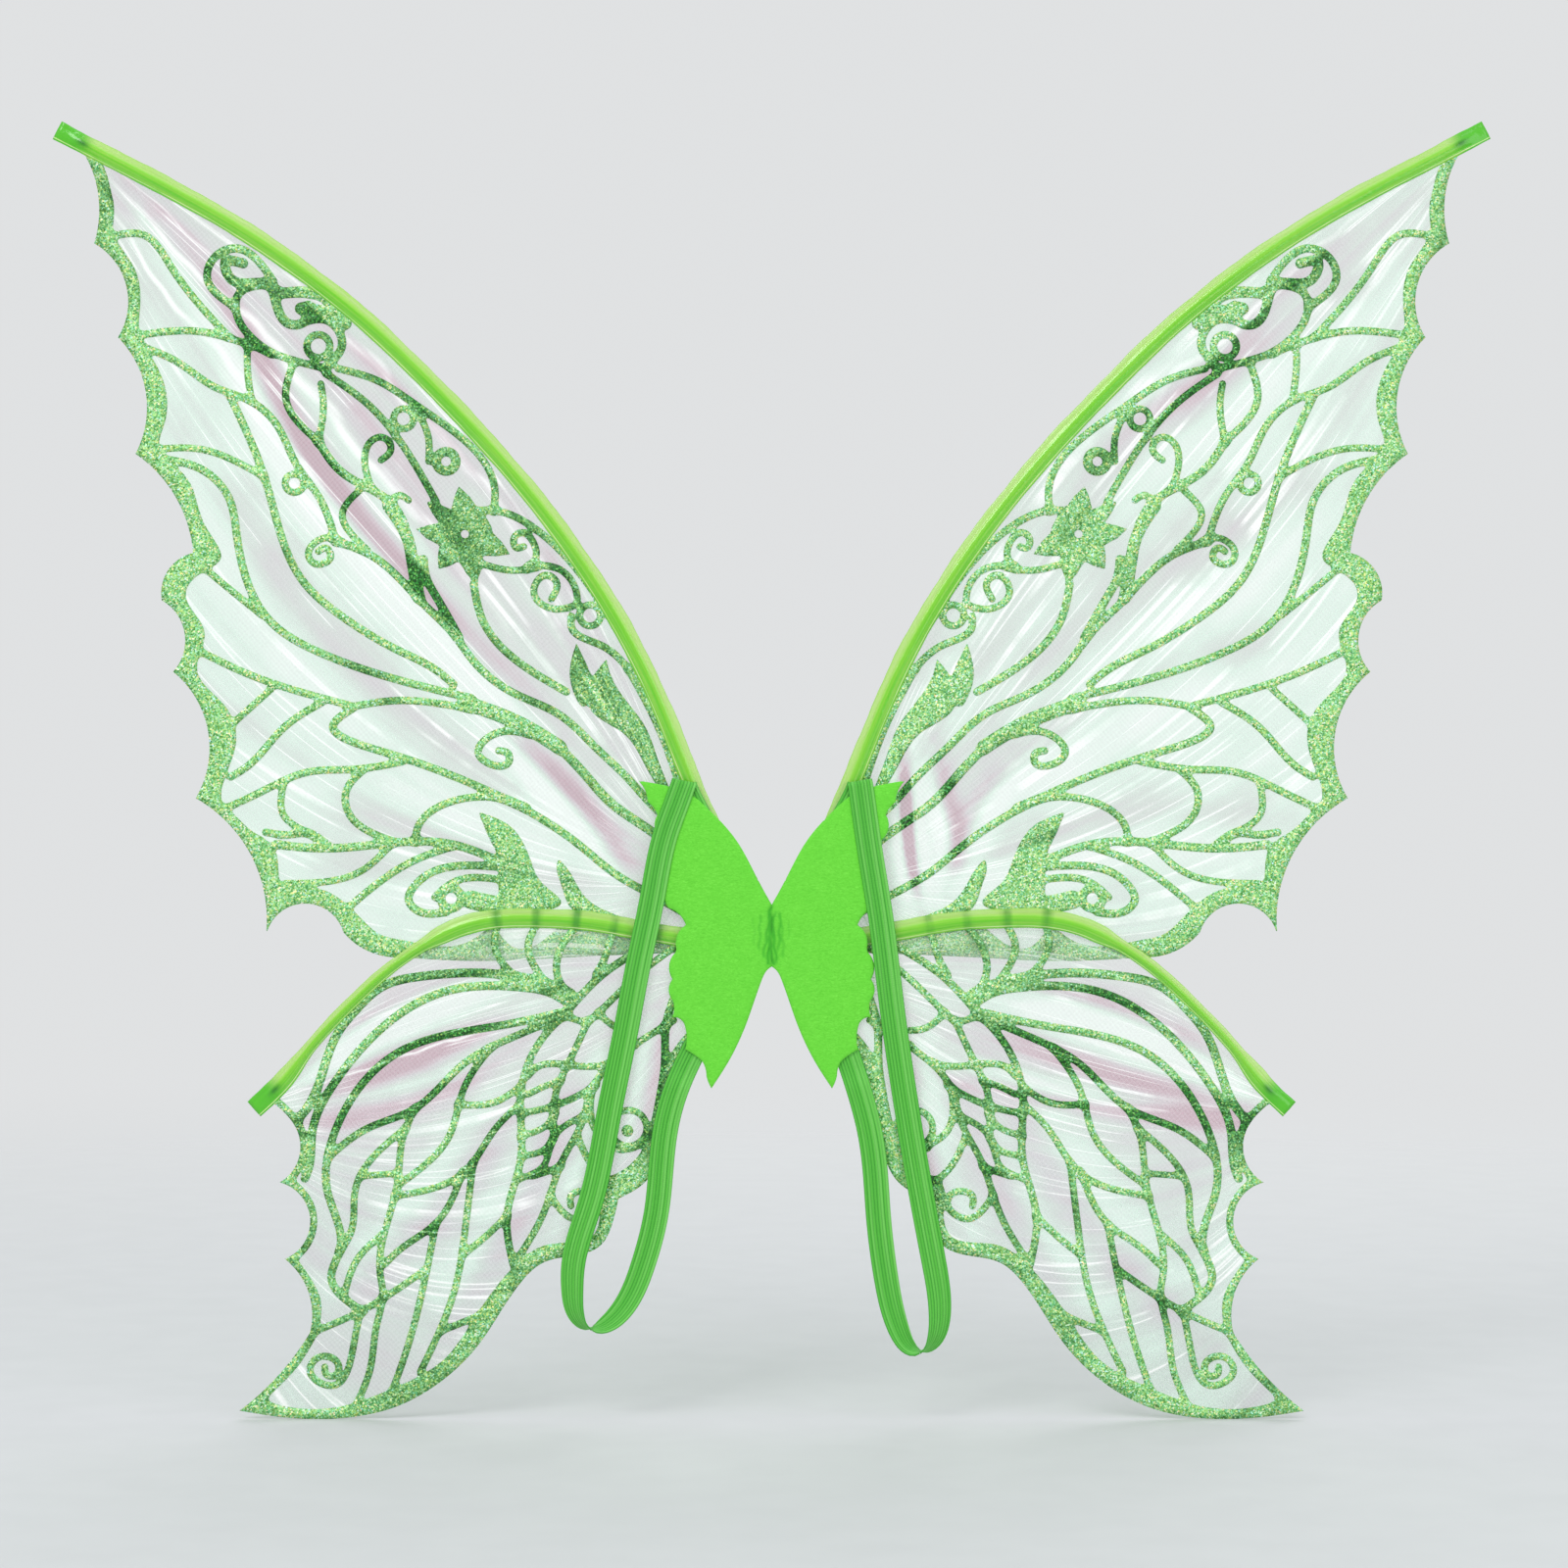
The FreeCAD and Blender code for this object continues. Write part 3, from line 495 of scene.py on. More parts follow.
class Field:
    """Signed distance, in mm, on a fine grid in the XZ plane. It is negative inside."""
    STEP = 0.5
    FAR = 5.0

    def __init__(self, low, high, outline):
        self.low = np.array(low, float)
        shape = np.ceil((high - self.low) / self.STEP).astype(int) + 1
        self.x, self.z = (start + self.STEP * np.arange(n) for start, n in zip(low, shape))
        self.value = np.zeros(shape)
        self.value = self.inside(outline)

    def near(self, points, radius):
        """Distance to discs around the points, or FAR where none is close by."""
        value = np.full(self.value.shape, self.FAR)
        reach = radius + self.FAR * 0.6
        for point in np.asarray(points):
            first = np.floor((point - reach - self.low) / self.STEP).astype(int)
            last = np.ceil((point + reach - self.low) / self.STEP).astype(int) + 1
            (x0, x1), (z0, z1) = np.clip([first, last], 0, value.shape).T
            across, up = self.x[x0:x1] - point[0], self.z[z0:z1] - point[1]
            away = np.sqrt(across[:, None] ** 2 + up[None, :] ** 2) - radius
            value[x0:x1, z0:z1] = np.minimum(value[x0:x1, z0:z1], away)
        return value

    def inside(self, outline):
        """Signed distance to a closed outline."""
        loop = np.vstack([outline, outline[:1]])
        away = self.near(dense(loop, self.STEP), 0)
        odd = np.zeros(self.value.shape, bool)
        for (x0, z0), (x1, z1) in zip(loop, loop[1:]):
            if z0 == z1:
                continue
            rows = (self.z >= min(z0, z1)) & (self.z < max(z0, z1))
            cross = x0 + (self.z[rows] - z0) * (x1 - x0) / (z1 - z0)
            odd[:, rows] ^= self.x[:, None] < cross[None, :]
        return np.where(odd, -away, away)

    def join(self, value, fillet):
        """Smooth union with another set of distances."""
        share = np.maximum(fillet - np.abs(self.value - value), 0) / fillet
        self.value = np.minimum(self.value, value) - share * share * fillet / 4

    def stroke(self, path, width, fillet):
        """Smooth union with a printed line."""
        self.join(self.near(path, (width + PRINT_SPREAD) / 2), fillet)

    def at(self, points):
        """Interpolated value at points."""
        place = (np.asarray(points) - self.low) / self.STEP
        place = np.clip(place, 0, np.array(self.value.shape) - 1.001)
        cell = place.astype(int)
        part = place - cell
        total = 0
        for dx, dz in ((0, 0), (1, 0), (0, 1), (1, 1)):
            share = np.abs(1 - dx - part[:, 0]) * np.abs(1 - dz - part[:, 1])
            total = total + share * self.value[cell[:, 0] + dx, cell[:, 1] + dz]
        return total

    def contours(self, level, spacing):
        """Closed loops where the field equals level, as evenly spaced points."""
        v = self.value - level
        v[v == 0] = 1e-9
        sign = v < 0
        corners = sign[:-1, :-1].astype(int) + sign[1:, :-1] + sign[:-1, 1:] + sign[1:, 1:]
        links = {}
        for i, j in zip(*np.nonzero(corners % 4)):
            walls = (((i, j), (i + 1, j)), ((i + 1, j), (i + 1, j + 1)),
                     ((i, j + 1), (i + 1, j + 1)), ((i, j), (i, j + 1)))
            cut = [wall for wall in walls if sign[wall[0]] != sign[wall[1]]]
            for a, b in zip(cut[::2], cut[1::2]):
                links.setdefault(a, []).append(b)
                links.setdefault(b, []).append(a)
        loops = []
        while links:
            chain = [next(iter(links))]
            onward = links.pop(chain[0])[:1]
            while onward and onward[0] in links:
                chain.append(onward[0])
                onward = [wall for wall in links.pop(chain[-1]) if wall in links]
            if len(chain) > 8:        # a shorter one is a speck
                a, b = np.array(chain).transpose(1, 0, 2)
                share = v[tuple(a.T)] / (v[tuple(a.T)] - v[tuple(b.T)])
                place = self.low + self.STEP * (a + (b - a) * share[:, None])
                loops.append(even_loop(place, spacing))
        return loops


def triangulate(outline, inner_loops, spacing, allowed, extra=()):
    """Triangles of a flat region, with the inner loops as edges and even points between.

    allowed says which of the even points to keep. extra points are added as they are.
    """
    edges = []
    first = 0
    for loop in (outline, *inner_loops):
        index = np.arange(len(loop))
        edges.append(first + np.column_stack([index, (index + 1) % len(loop)]))
        first += len(loop)
    points = [outline, *inner_loops, *extra]
    low, high = outline.min(0), outline.max(0)
    for k, z in enumerate(np.arange(low[1], high[1], spacing * math.sqrt(3) / 2)):
        x = np.arange(low[0] + (k % 2) * spacing / 2, high[0], spacing)
        line = np.column_stack([x, np.full(len(x), z)])
        points.append(line[allowed(line)])
    verts = [Vector(p) for p in np.vstack(points)]
    result = delaunay_2d_cdt(verts, np.vstack(edges).tolist(), [], 0, 1e-5)
    return np.array([tuple(v) for v in result[0]]), np.array(result[2])


# ==== meshes ====
def new_mesh(name, verts_mm, faces):
    """A mesh object from points in mm.

    Each vertex stores its own place at rest, so that patterns don't swim in a pose.
    """
    mesh = bpy.data.meshes.new(name)
    mesh.from_pydata((np.asarray(verts_mm, float) * MM).tolist(), [], faces)
    mesh.validate()
    mesh.polygons.foreach_set("use_smooth", [True] * len(mesh.polygons))
    obj = bpy.data.objects.new(name, mesh)
    bpy.context.scene.collection.objects.link(obj)
    place = mesh.attributes.new("place", "FLOAT_VECTOR", "POINT")
    place.data.foreach_set("vector", np.asarray(verts_mm, np.float32).ravel())
    return obj


def store(obj, values):
    """Numbers per vertex that the materials read, as {name: numbers}."""
    for name, numbers in values.items():
        attribute = obj.data.attributes.new(name, "FLOAT", "POINT")
        attribute.data.foreach_set("value", np.asarray(numbers, np.float32))


def dress(obj, look):
    """Gives it its Blender material."""
    obj.data.materials.append(MATERIALS[look])


def slab(name, flat, triangles, front, rear, sign, values):
    """A closed sheet from flat (x, z) triangles and the y of its two faces.

    sign is -1 for the left side, where x is mirrored.
    """
    used, inverse = np.unique(triangles, return_inverse=True)
    triangles = inverse.reshape(-1, 3)
    flat, front, rear = flat[used], front[used], rear[used]
    count = len(flat)
    verts = np.vstack([np.column_stack([flat[:, 0] * sign, y, flat[:, 1]])
                       for y in (front, rear)])
    pairs = np.vstack([triangles[:, [0, 1]], triangles[:, [1, 2]], triangles[:, [2, 0]]])
    start, end = pairs.T.astype(np.int64)
    rim = pairs[~np.isin(start * count + end, end * count + start)]
    walls = np.column_stack([rim[:, ::-1], rim + count])
    faces = [triangles, triangles[:, ::-1] + count, walls]
    obj = new_mesh(name, verts, [f for part in faces for f in part[:, ::sign].tolist()])
    store(obj, {key: np.tile(value[used], 2) for key, value in values.items()})
    return obj


def sweep(name, centres, frames, section, values):
    """A closed tube from a closed section, given per station as (n, 2) offsets.

    centres are points in mm, frames are (across, out) unit vectors per station, and
    values is {attribute name: numbers per section point}.
    """
    stations, count = section.shape[:2]
    verts = (centres[:, None] + section[:, :, :1] * frames[:, None, 0]
             + section[:, :, 1:] * frames[:, None, 1]).reshape(-1, 3)
    ring = np.arange(count)
    onward = np.roll(ring, -1)
    strip = np.column_stack([ring, onward, onward + count, ring + count])
    faces = (strip + count * np.arange(stations - 1)[:, None, None]).reshape(-1, 4).tolist()
    faces += [ring[::-1].tolist(), (ring + (stations - 1) * count).tolist()]
    obj = new_mesh(name, verts, faces)
    work = bmesh.new()
    work.from_mesh(obj.data)
    bmesh.ops.recalc_face_normals(work, faces=work.faces)
    work.to_mesh(obj.data)
    work.free()
    store(obj, {"along": np.repeat(lengths(centres), count)})
    store(obj, {key: np.tile(value, stations) for key, value in values.items()})
    return obj


# ==== films and glitter ====
def film_edges(wing):
    """A film's outline, the part of it with a printed border, and the border itself."""
    side = scallops(SCALLOPS[wing], step=1.3)
    curves = [curve_through(points, step) for step, points in EDGES[wing]]
    rim = np.vstack([side[:-1]] + [curve[:-1] for curve in curves[:-1]] + curves[-1:])
    top = curve_through(SLEEVE[wing], step=2.2)
    top = top - outward(top) * FILM_TUCK
    top = top[(top[:, 0] >= FILM_ROOT_X) & (top[:, 0] < SCALLOPS[wing][0][0] - 1)]
    outline = np.vstack([top, rim, [FILM_ROOT[wing]]])[::-1]
    past_rim = rim + outward(rim) * BORDER_PAST
    border = np.vstack([curve_through(BAND[wing], step=1.0), past_rim[::-1]])
    return outline, side if wing == "upper" else rim, border


def film_plan(wing):
    """Flat triangles of one film, which of them carry glitter, and the print's distances."""
    outline, rim, border = film_edges(wing)
    low, high = outline.min(0) - MARGIN, outline.max(0) + MARGIN
    edge = Field(low, high, outline)
    ink = Field(low, high, border)
    ink.join(ink.near(dense(rim, step=1.0), RIM_BAND[wing]), RIM_FILLET)
    for width, points in VEINS[wing]:
        ink.stroke(curve_through(points, step=0.6), width, VEIN_FILLET)
    for x, z, radius, width in RINGS[wing]:
        ink.stroke([x, z] + radius * circle(40), width, RING_FILLET)
    for leaf in LEAVES[wing]:
        ink.join(ink.inside(curve_through(leaf + leaf[:1], step=1.0)[:-1]), LEAF_FILLET)
    if wing == "upper":
        ink.join(ink.inside(flower_outline()), LEAF_FILLET)
        ink.value = np.maximum(ink.value, -ink.near([FLOWER_CENTRE], FLOWER_HOLE_R))
    # Print that is all outside the film is of no use.
    loops = [loop for loop in ink.contours(0, INK_SPACING) if edge.at(loop).min() < 1.5]

    def allowed(points):
        return (edge.at(points) < -CLEAR_OF_EDGE) & (np.abs(ink.at(points)) > CLEAR_OF_INK)

    flat, triangles = triangulate(outline, loops, FILM_SPACING, allowed)
    triangles = triangles[edge.at(flat[triangles].mean(1)) < 0]
    return flat, triangles, ink.at(flat[triangles].mean(1)) < 0, ink


def flower_outline():
    """A seven-petal star whose petals bulge on their way to the tip."""
    tips = np.array(FLOWER_TIPS, float) - FLOWER_CENTRE
    angles = np.arctan2(tips[:, 1], tips[:, 0])
    gaps = (np.roll(angles, -1) - angles) % math.tau / 2
    points = []
    for angle, far, gap, gap_before in zip(angles, np.linalg.norm(tips, axis=1), gaps,
                                           np.roll(gaps, 1)):
        shoulder = FLOWER_VALLEY_R + PETAL_BULGE * (far - FLOWER_VALLEY_R)
        for turn, radius in ((-PETAL_WIDTH * gap_before, shoulder), (0, far),
                             (PETAL_WIDTH * gap, shoulder), (gap, FLOWER_VALLEY_R)):
            points.append((radius * math.cos(angle + turn), radius * math.sin(angle + turn)))
    return FLOWER_CENTRE + np.array(points)


def fold_shape(flat, folds):
    """Height of the tension folds in mm, and how much painted light each point sends back."""
    height = np.zeros(len(flat))
    light = np.zeros(len(flat))
    for width, crest, points in folds:
        path = curve_through(points, step=4)
        best = np.full(len(flat), 1e9)
        side = np.zeros(len(flat))
        along = np.zeros(len(flat))
        for i, (a, b) in enumerate(zip(path, path[1:])):
            step = b - a
            t = np.clip((flat - a) @ step / (step @ step), 0, 1)
            offset = flat - a - t[:, None] * step
            away = np.linalg.norm(offset, axis=1)
            cross = step[0] * offset[:, 1] - step[1] * offset[:, 0]
            closer = away < best
            best = np.where(closer, away, best)
            side = np.where(closer, np.sign(cross) * away, side)
            along = np.where(closer, (i + t) / (len(path) - 1), along)
        fade = np.sin(math.pi * np.clip(along, 0.02, 0.98)) ** 0.6
        rise = crest * bell(side, width) * fade
        height += rise
        # Painted light: the slope on one side of the crest gains light, the other loses it.
        light += FOLD_SHINE * rise * side / width
    return height, light


def tension_lines(flat, tip, root):
    """Which arc from tip to root a point is on, and how far along it is."""
    a, b = flat - tip, flat - root
    angle = np.arctan2(a[:, 0] * b[:, 1] - a[:, 1] * b[:, 0], (a * b).sum(1))
    far, near = np.linalg.norm(a, axis=1), np.linalg.norm(b, axis=1)
    return angle % math.tau - math.pi, far / (far + near)


def bend_with_wing(obj):
    """Bakes the piece's transform into its mesh."""
    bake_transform(obj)


def build_films(wing):
    """Film and glitter of one wing on both sides. Returns the print's distances."""
    flat, triangles, inked, ink = film_plan(wing)
    sleeve = curve_through(SLEEVE[wing], step=2.0)
    gap = np.min([np.linalg.norm(flat - point, axis=1) for point in sleeve], axis=0)
    slack = smoothstep(*SLACK_GAP, gap) * smoothstep(*SLACK_X, flat[:, 0])
    arc, along = tension_lines(flat, *PULL[wing])
    veil = 1 - THIN_VEIL[wing] * smoothstep(*VEIL_GAP, gap) * smoothstep(*VEIL_X, flat[:, 0])
    for side, sign in SIDES.items():
        height, light = fold_shape(flat, FOLDS[side, wing])
        # Small ripples run along the tension lines.
        ripple = 0.14 * np.sin(arc * 31 + sign) + 0.10 * np.sin(arc * 57 + along * 5)
        drape = np.clip(height * FOLD_LIFT - SAG + ripple, *DRAPE_LIMITS[wing])
        y = FILM_Y[wing] + slack * drape
        y += (SLEEVE_Y - y) * (1 - smoothstep(*WELD_GAP, gap))
        # The sheen stored below is painted light: more of it away from the sleeve and on one slope
        # of each fold, less on the other.
        base, spread = FILM_LIGHT[side, wing]
        lit = base + spread * smoothstep(*LIGHT_GAP, gap) + light * smoothstep(*FOLD_GAP, gap)
        values = {"sheen": lit, "arc": arc, "run": along + FILM_CODE[side, wing], "veil": veil}
        for layer, half, kept in (("film", FILM_HALF, triangles),
                                  ("glitter", GLITTER_HALF, triangles[inked])):
            sheet = slab(f"{side}_{wing}_wing_{layer}", flat, kept, y - half, y + half, sign,
                         values)
            dress(sheet, layer)
            if layer == "film":
                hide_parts(f"{side}_{wing}_film", f"{side}_{wing}_film_root")
            bend_with_wing(sheet)
    return ink


# ==== sleeves and rods ====
def edge_line(path, step, sign):
    """A leading edge's points flat and in space, and its (across, out) directions."""
    flat = curve_through(path, step)
    mirror = [sign, 1]
    centres = np.insert(flat * mirror, 1, SLEEVE_Y, axis=1)
    # Outwards of a rising centre line is to its left.
    across = np.insert(outward(flat) * mirror, 1, 0, axis=1)
    return flat, centres, np.stack([across, np.broadcast_to(FRONT, across.shape)], axis=1)


def build_sleeve(side, wing, ink):
    """A flat welded tube: pale outer edge strip, raised body, seam line, inner edge.

    ink is the print's distances on its film, whose veins show through the sleeve.
    """
    sign = SIDES[side]
    flat, centres, frames = edge_line(SLEEVE[wing], 1.5, sign)
    length = lengths(flat)
    to_tip = length[-1] - length
    across, half = np.array(SLEEVE_PROFILE).T
    around = np.r_[across, across[::-1]]
    section = np.column_stack([around, np.r_[half, -half[::-1]]])
    section = np.repeat(section[None], len(flat), axis=0)
    section[:, :, 1] *= (0.3 + 0.7 * smoothstep(*TIP_PRESSED, to_tip))[:, None]
    phase = 1.7 + sign
    wave = (0.14 * np.sin(length * 0.12 + phase) + 0.10 * np.sin(length * 0.29 + 2 * phase)
            + 0.05 * np.sin(length * 0.83))[:, None]
    section[:, around > WAVY_FROM[1], 0] += wave
    section[:, around < WAVY_FROM[0], 0] += 0.5 * np.roll(wave, 9)
    if wing == "lower":
        start, end = PINCH
        pinch = (smoothstep(start, start + PINCH_RUN, flat[:, 0])
                 * smoothstep(end + PINCH_RUN, end, flat[:, 0]))
        section[:, :, 0] *= (1 - PINCH_DEPTH * pinch)[:, None]
    sleeve = sweep(f"{side}_{wing}_wing_sleeve", centres, frames, section,
                   {"across": around / SLEEVE_HALF})
    rod_at, long, wide = ROD_SPOT
    rod_end = bell(to_tip - rod_at, long)[:, None] * bell(around, wide)
    inked = smoothstep(0.4, -0.6, ink.at(flat - outward(flat) * VEIN_LOOK_IN))
    vein = inked * (flat[:, 0] < SLEEVE_VEINS_TO[wing])
    store(sleeve, {"rod_end": rod_end.ravel(), "vein": np.repeat(vein, len(around)),
                   "tip": np.repeat(smoothstep(*TIP_DARK, to_tip), len(around))})
    return sleeve


def build_rod(side, wing):
    *path, before, tip = np.array(SLEEVE[wing], float)
    end = tip - ROD_SHORT * (tip - before) / np.linalg.norm(tip - before)
    _, centres, frames = edge_line(path + [before, end], 2.0, SIDES[side])
    section = np.repeat(ROD_R * circle(13)[None, :-1], len(centres), axis=0)
    return sweep(f"{side}_{wing}_wing_rod", centres, frames, section, {})


def build_sleeves(wing, ink):
    for side in SIDES:
        for piece, look, part in ((build_sleeve(side, wing, ink), "vinyl", "sleeve"),
                                  (build_rod(side, wing), "wire", "rod")):
            dress(piece, look)
            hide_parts(f"{side}_{wing}_{part}", f"{side}_{wing}_{part}_root")
            bend_with_wing(piece)


# ==== felt ====
def felt_plan():
    """Flat triangles of the pad's right half, and each point's distance from the edge."""
    half = np.vstack([
        curve_through(PAD_TOP_EDGE, step=1.2)[:-1], scallops(PAD_SCALLOPS, step=0.8)[:-1],
        curve_through(PAD_BOTTOM_EDGE, step=1.2)])
    seam_z = np.linspace(PAD_BOTTOM_EDGE[-1][1], PAD_TOP_EDGE[0][1], 40)[1:-1]
    outline = np.vstack([half, np.column_stack([np.zeros(len(seam_z)), seam_z])])[::-1]
    whole = np.vstack([half, (half * [-1, 1])[::-1][1:-1]])
    edge = Field(whole.min(0) - 4, whole.max(0) + 4, whole)
    # Two rows of points follow the edge, where the felt is rounded off.
    rings = np.vstack([loop for level in (-0.25, -BEVEL)
                       for loop in edge.contours(level, spacing=0.9)])
    x, z = np.meshgrid(
        np.arange(SEAM_X, CREASE_REACH, FINE_SPACING),
        np.arange(CREASE_LOW + FINE_SPACING, CREASE_HIGH - FINE_SPACING, FINE_SPACING))
    fine = np.column_stack([x.ravel(), z.ravel()])

    def allowed(points):
        x, z = points.T
        near_crease = (x < CREASE_REACH) & (z > CREASE_LOW) & (z < CREASE_HIGH)
        return (edge.at(points) < -1.4) & (x > SEAM_X) & ~near_crease

    flat, triangles = triangulate(outline, [], FELT_SPACING, allowed, [
        rings[rings[:, 0] > SEAM_X], fine[edge.at(fine) < -1.2]])
    middle = flat[triangles].mean(1)
    triangles = triangles[(edge.at(middle) < 0) & (middle[:, 0] > 0)]
    return flat, triangles, np.maximum(-edge.at(flat), 0)


def crease_depth(x, z):
    """Depth of the fold line down the middle, with the wrinkles around it."""
    wander = 0.6 * np.sin(z * 0.42 + 0.5) + 0.3 * np.sin(z * 1.1)
    sharp = 0.22 + 0.38 * smoothstep(0, 7, z)
    total = sharp * bell(x - wander, 0.7) + 0.14 * bell(x, 4)
    for start, lean, low, high, strength in CREASES:
        offset = x - start - lean * (z - low) - 0.3 * np.sin(z * 0.9 + start)
        total += (strength * bell(offset, 0.6) * smoothstep(low - 2, low, z)
                  * smoothstep(high + 2, high, z))
    return total * smoothstep(14.5, 11, z) * smoothstep(-13.5, -10, z)


def build_felts():
    flat, triangles, inward = felt_plan()
    slope = 1 - np.clip(inward / BEVEL, 0, 1)
    round_off = np.sqrt(np.clip(1 - slope ** 2, 0.04, 1))
    for layer, (y0, y1) in FELT_Y.items():
        outside = -1 if layer == "front" else 1
        for side, sign in SIDES.items():
            x, z = flat[:, 0] * sign, flat[:, 1]
            swell = (0.10 * np.sin(x * 0.16 + 0.6) * np.sin(z * 0.11 + 1.1)
                     + 0.05 * np.sin(x * 0.42 + z * 0.33) + 0.15)
            wrinkle = crease_depth(x, z)
            middle = (y0 + y1) / 2 + outside * (swell * smoothstep(0, 6, inward) - wrinkle)
            half = (y1 - y0) / 2 * round_off
            # The crease depth is stored as well, for the painted shade in the felt's colour.
            felt = slab(f"{side}_{layer}_felt_cloth", flat, triangles, middle - half,
                        middle + half, sign, {"crease": wrinkle})
            dress(felt, "felt")
            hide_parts(f"{side}_{layer}_felt", f"{layer}_felt_crease")
            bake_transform(felt)


# ==== straps ====
def strap_piece(name, centres, across):
    """A ribbed band along a line of points, given its width direction at each."""
    steps = STRAP_RIBS * 6
    place = np.linspace(-STRAP_W / 2, STRAP_W / 2, steps + 1)
    rib = np.abs(np.sin(np.linspace(0, STRAP_RIBS * math.pi, steps + 1)))
    thick = STRAP_T / 2 - GROOVE + RIB * np.sqrt(rib)
    thick[0] = thick[-1] = STRAP_EDGE
    place = np.r_[place, place[::-1]]
    section = np.column_stack([place, np.r_[thick, -thick[::-1]]])
    along = unit(np.gradient(centres, axis=0))
    across = unit(across - along * (across * along).sum(1)[:, None])
    strap = sweep(name, centres, np.stack([across, np.cross(across, along)], axis=1),
                  np.repeat(section[None], len(centres), axis=0),
                  {"rib": np.r_[rib, rib[::-1]], "across": place})
    dress(strap, "elastic")
    return strap


def rolled(loop, turn):
    """Centres and width directions of a hanging loop that rolls over at its lowest point."""
    flat = curve_through(loop, 1.4)
    length = lengths(flat)
    lowest = int(np.argmin(flat[:, 1]))
    away = np.abs(length - length[lowest])
    angle = 90 * ROLL_HALF / (away + ROLL_HALF) * np.maximum(0, 1 - away / ROLL_REACH)
    roll = np.radians(np.where(np.arange(len(flat)) < lowest, angle, 180 - angle))
    deep = (STRAP_W * np.sin(roll) + STRAP_T * np.abs(np.cos(roll))) / 2
    centres = np.column_stack([flat[:, 0], STRAP_REAR_Y - deep, flat[:, 1]])
    sideways = np.cross(unit(np.gradient(centres * [1, 0, 1], axis=0)), FRONT)
    cos, sin = np.cos(turn * roll)[:, None], np.sin(turn * roll)[:, None]
    return centres, sideways * cos + FRONT * sin, lowest


def fold_over(top, across, sign):
    """The band's end tucked in the pad, and its turn over the pad's top edge.

    It runs up to the top of the hanging leg, whose width direction it keeps.
    """
    x, y, z = top
    half_rise = (TUCK_Y - y) / 2
    turn = [(x - sign * 0.2, y + half_rise * (1 - math.cos(a)), z + half_rise * math.sin(a))
            for a in np.radians((30, 60, 90, 120, 150))]
    end_x, end_z = TUCK_TOP
    path = curve_through([tuple(top), *turn, (x - sign * 0.5, TUCK_Y, z - 0.8),
                          (x - sign * 3.2, TUCK_Y, z - 7), (sign * end_x, TUCK_Y, end_z)], 0.5)
    widths = [across]
    for direction in unit(np.gradient(path, axis=0)):
        onward = widths[-1] - direction * (widths[-1] @ direction)
        widths.append(onward / np.linalg.norm(onward))
    return path[:0:-1], np.array(widths[1:])[:0:-1]


def build_straps():
    """Each band is two pieces that meet, rolled on edge, at the loop's lowest point."""
    for side, sign in SIDES.items():
        x, z = LOOP[side][0]
        rise = LEG_TOP - z
        loop = [(x + LOOP_SLOPE[side] * rise, z + rise), *LOOP[side],
                (sign * TUCK_BOTTOM[0], TUCK_BOTTOM[1])]
        centres, across, lowest = rolled(loop, LOOP_TURN[side])
        tucked = smoothstep(*TUCK_Z, centres[:, 2]) * (np.arange(len(centres)) > lowest)
        centres[:, 1] += (TUCK_Y - centres[:, 1]) * tucked
        fold, fold_across = fold_over(centres[0], across[0], sign)
        front = strap_piece(f"{side}_arm_strap_front",
                            np.vstack([fold, centres[:lowest + 1]]),
                            np.vstack([fold_across, across[:lowest + 1]]))
        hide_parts(f"{side}_arm_loop", f"{side}_loop_ends")
        # The ends of a blend that runs steeply forwards are worked out here, but nothing uses them.
        start = np.array([0, centres[0, 1], FRONT_BEND_Z]) * MM
        run = np.array([0, -6, -1.0])
        end = start + run * FRONT_BEND_DROP * MM / (run @ run)
        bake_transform(front)
        back = strap_piece(f"{side}_arm_strap_return", centres[lowest:], across[lowest:])
        start, end = ((0, 0, height * MM) for height in RETURN_BEND)
        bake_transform(back)


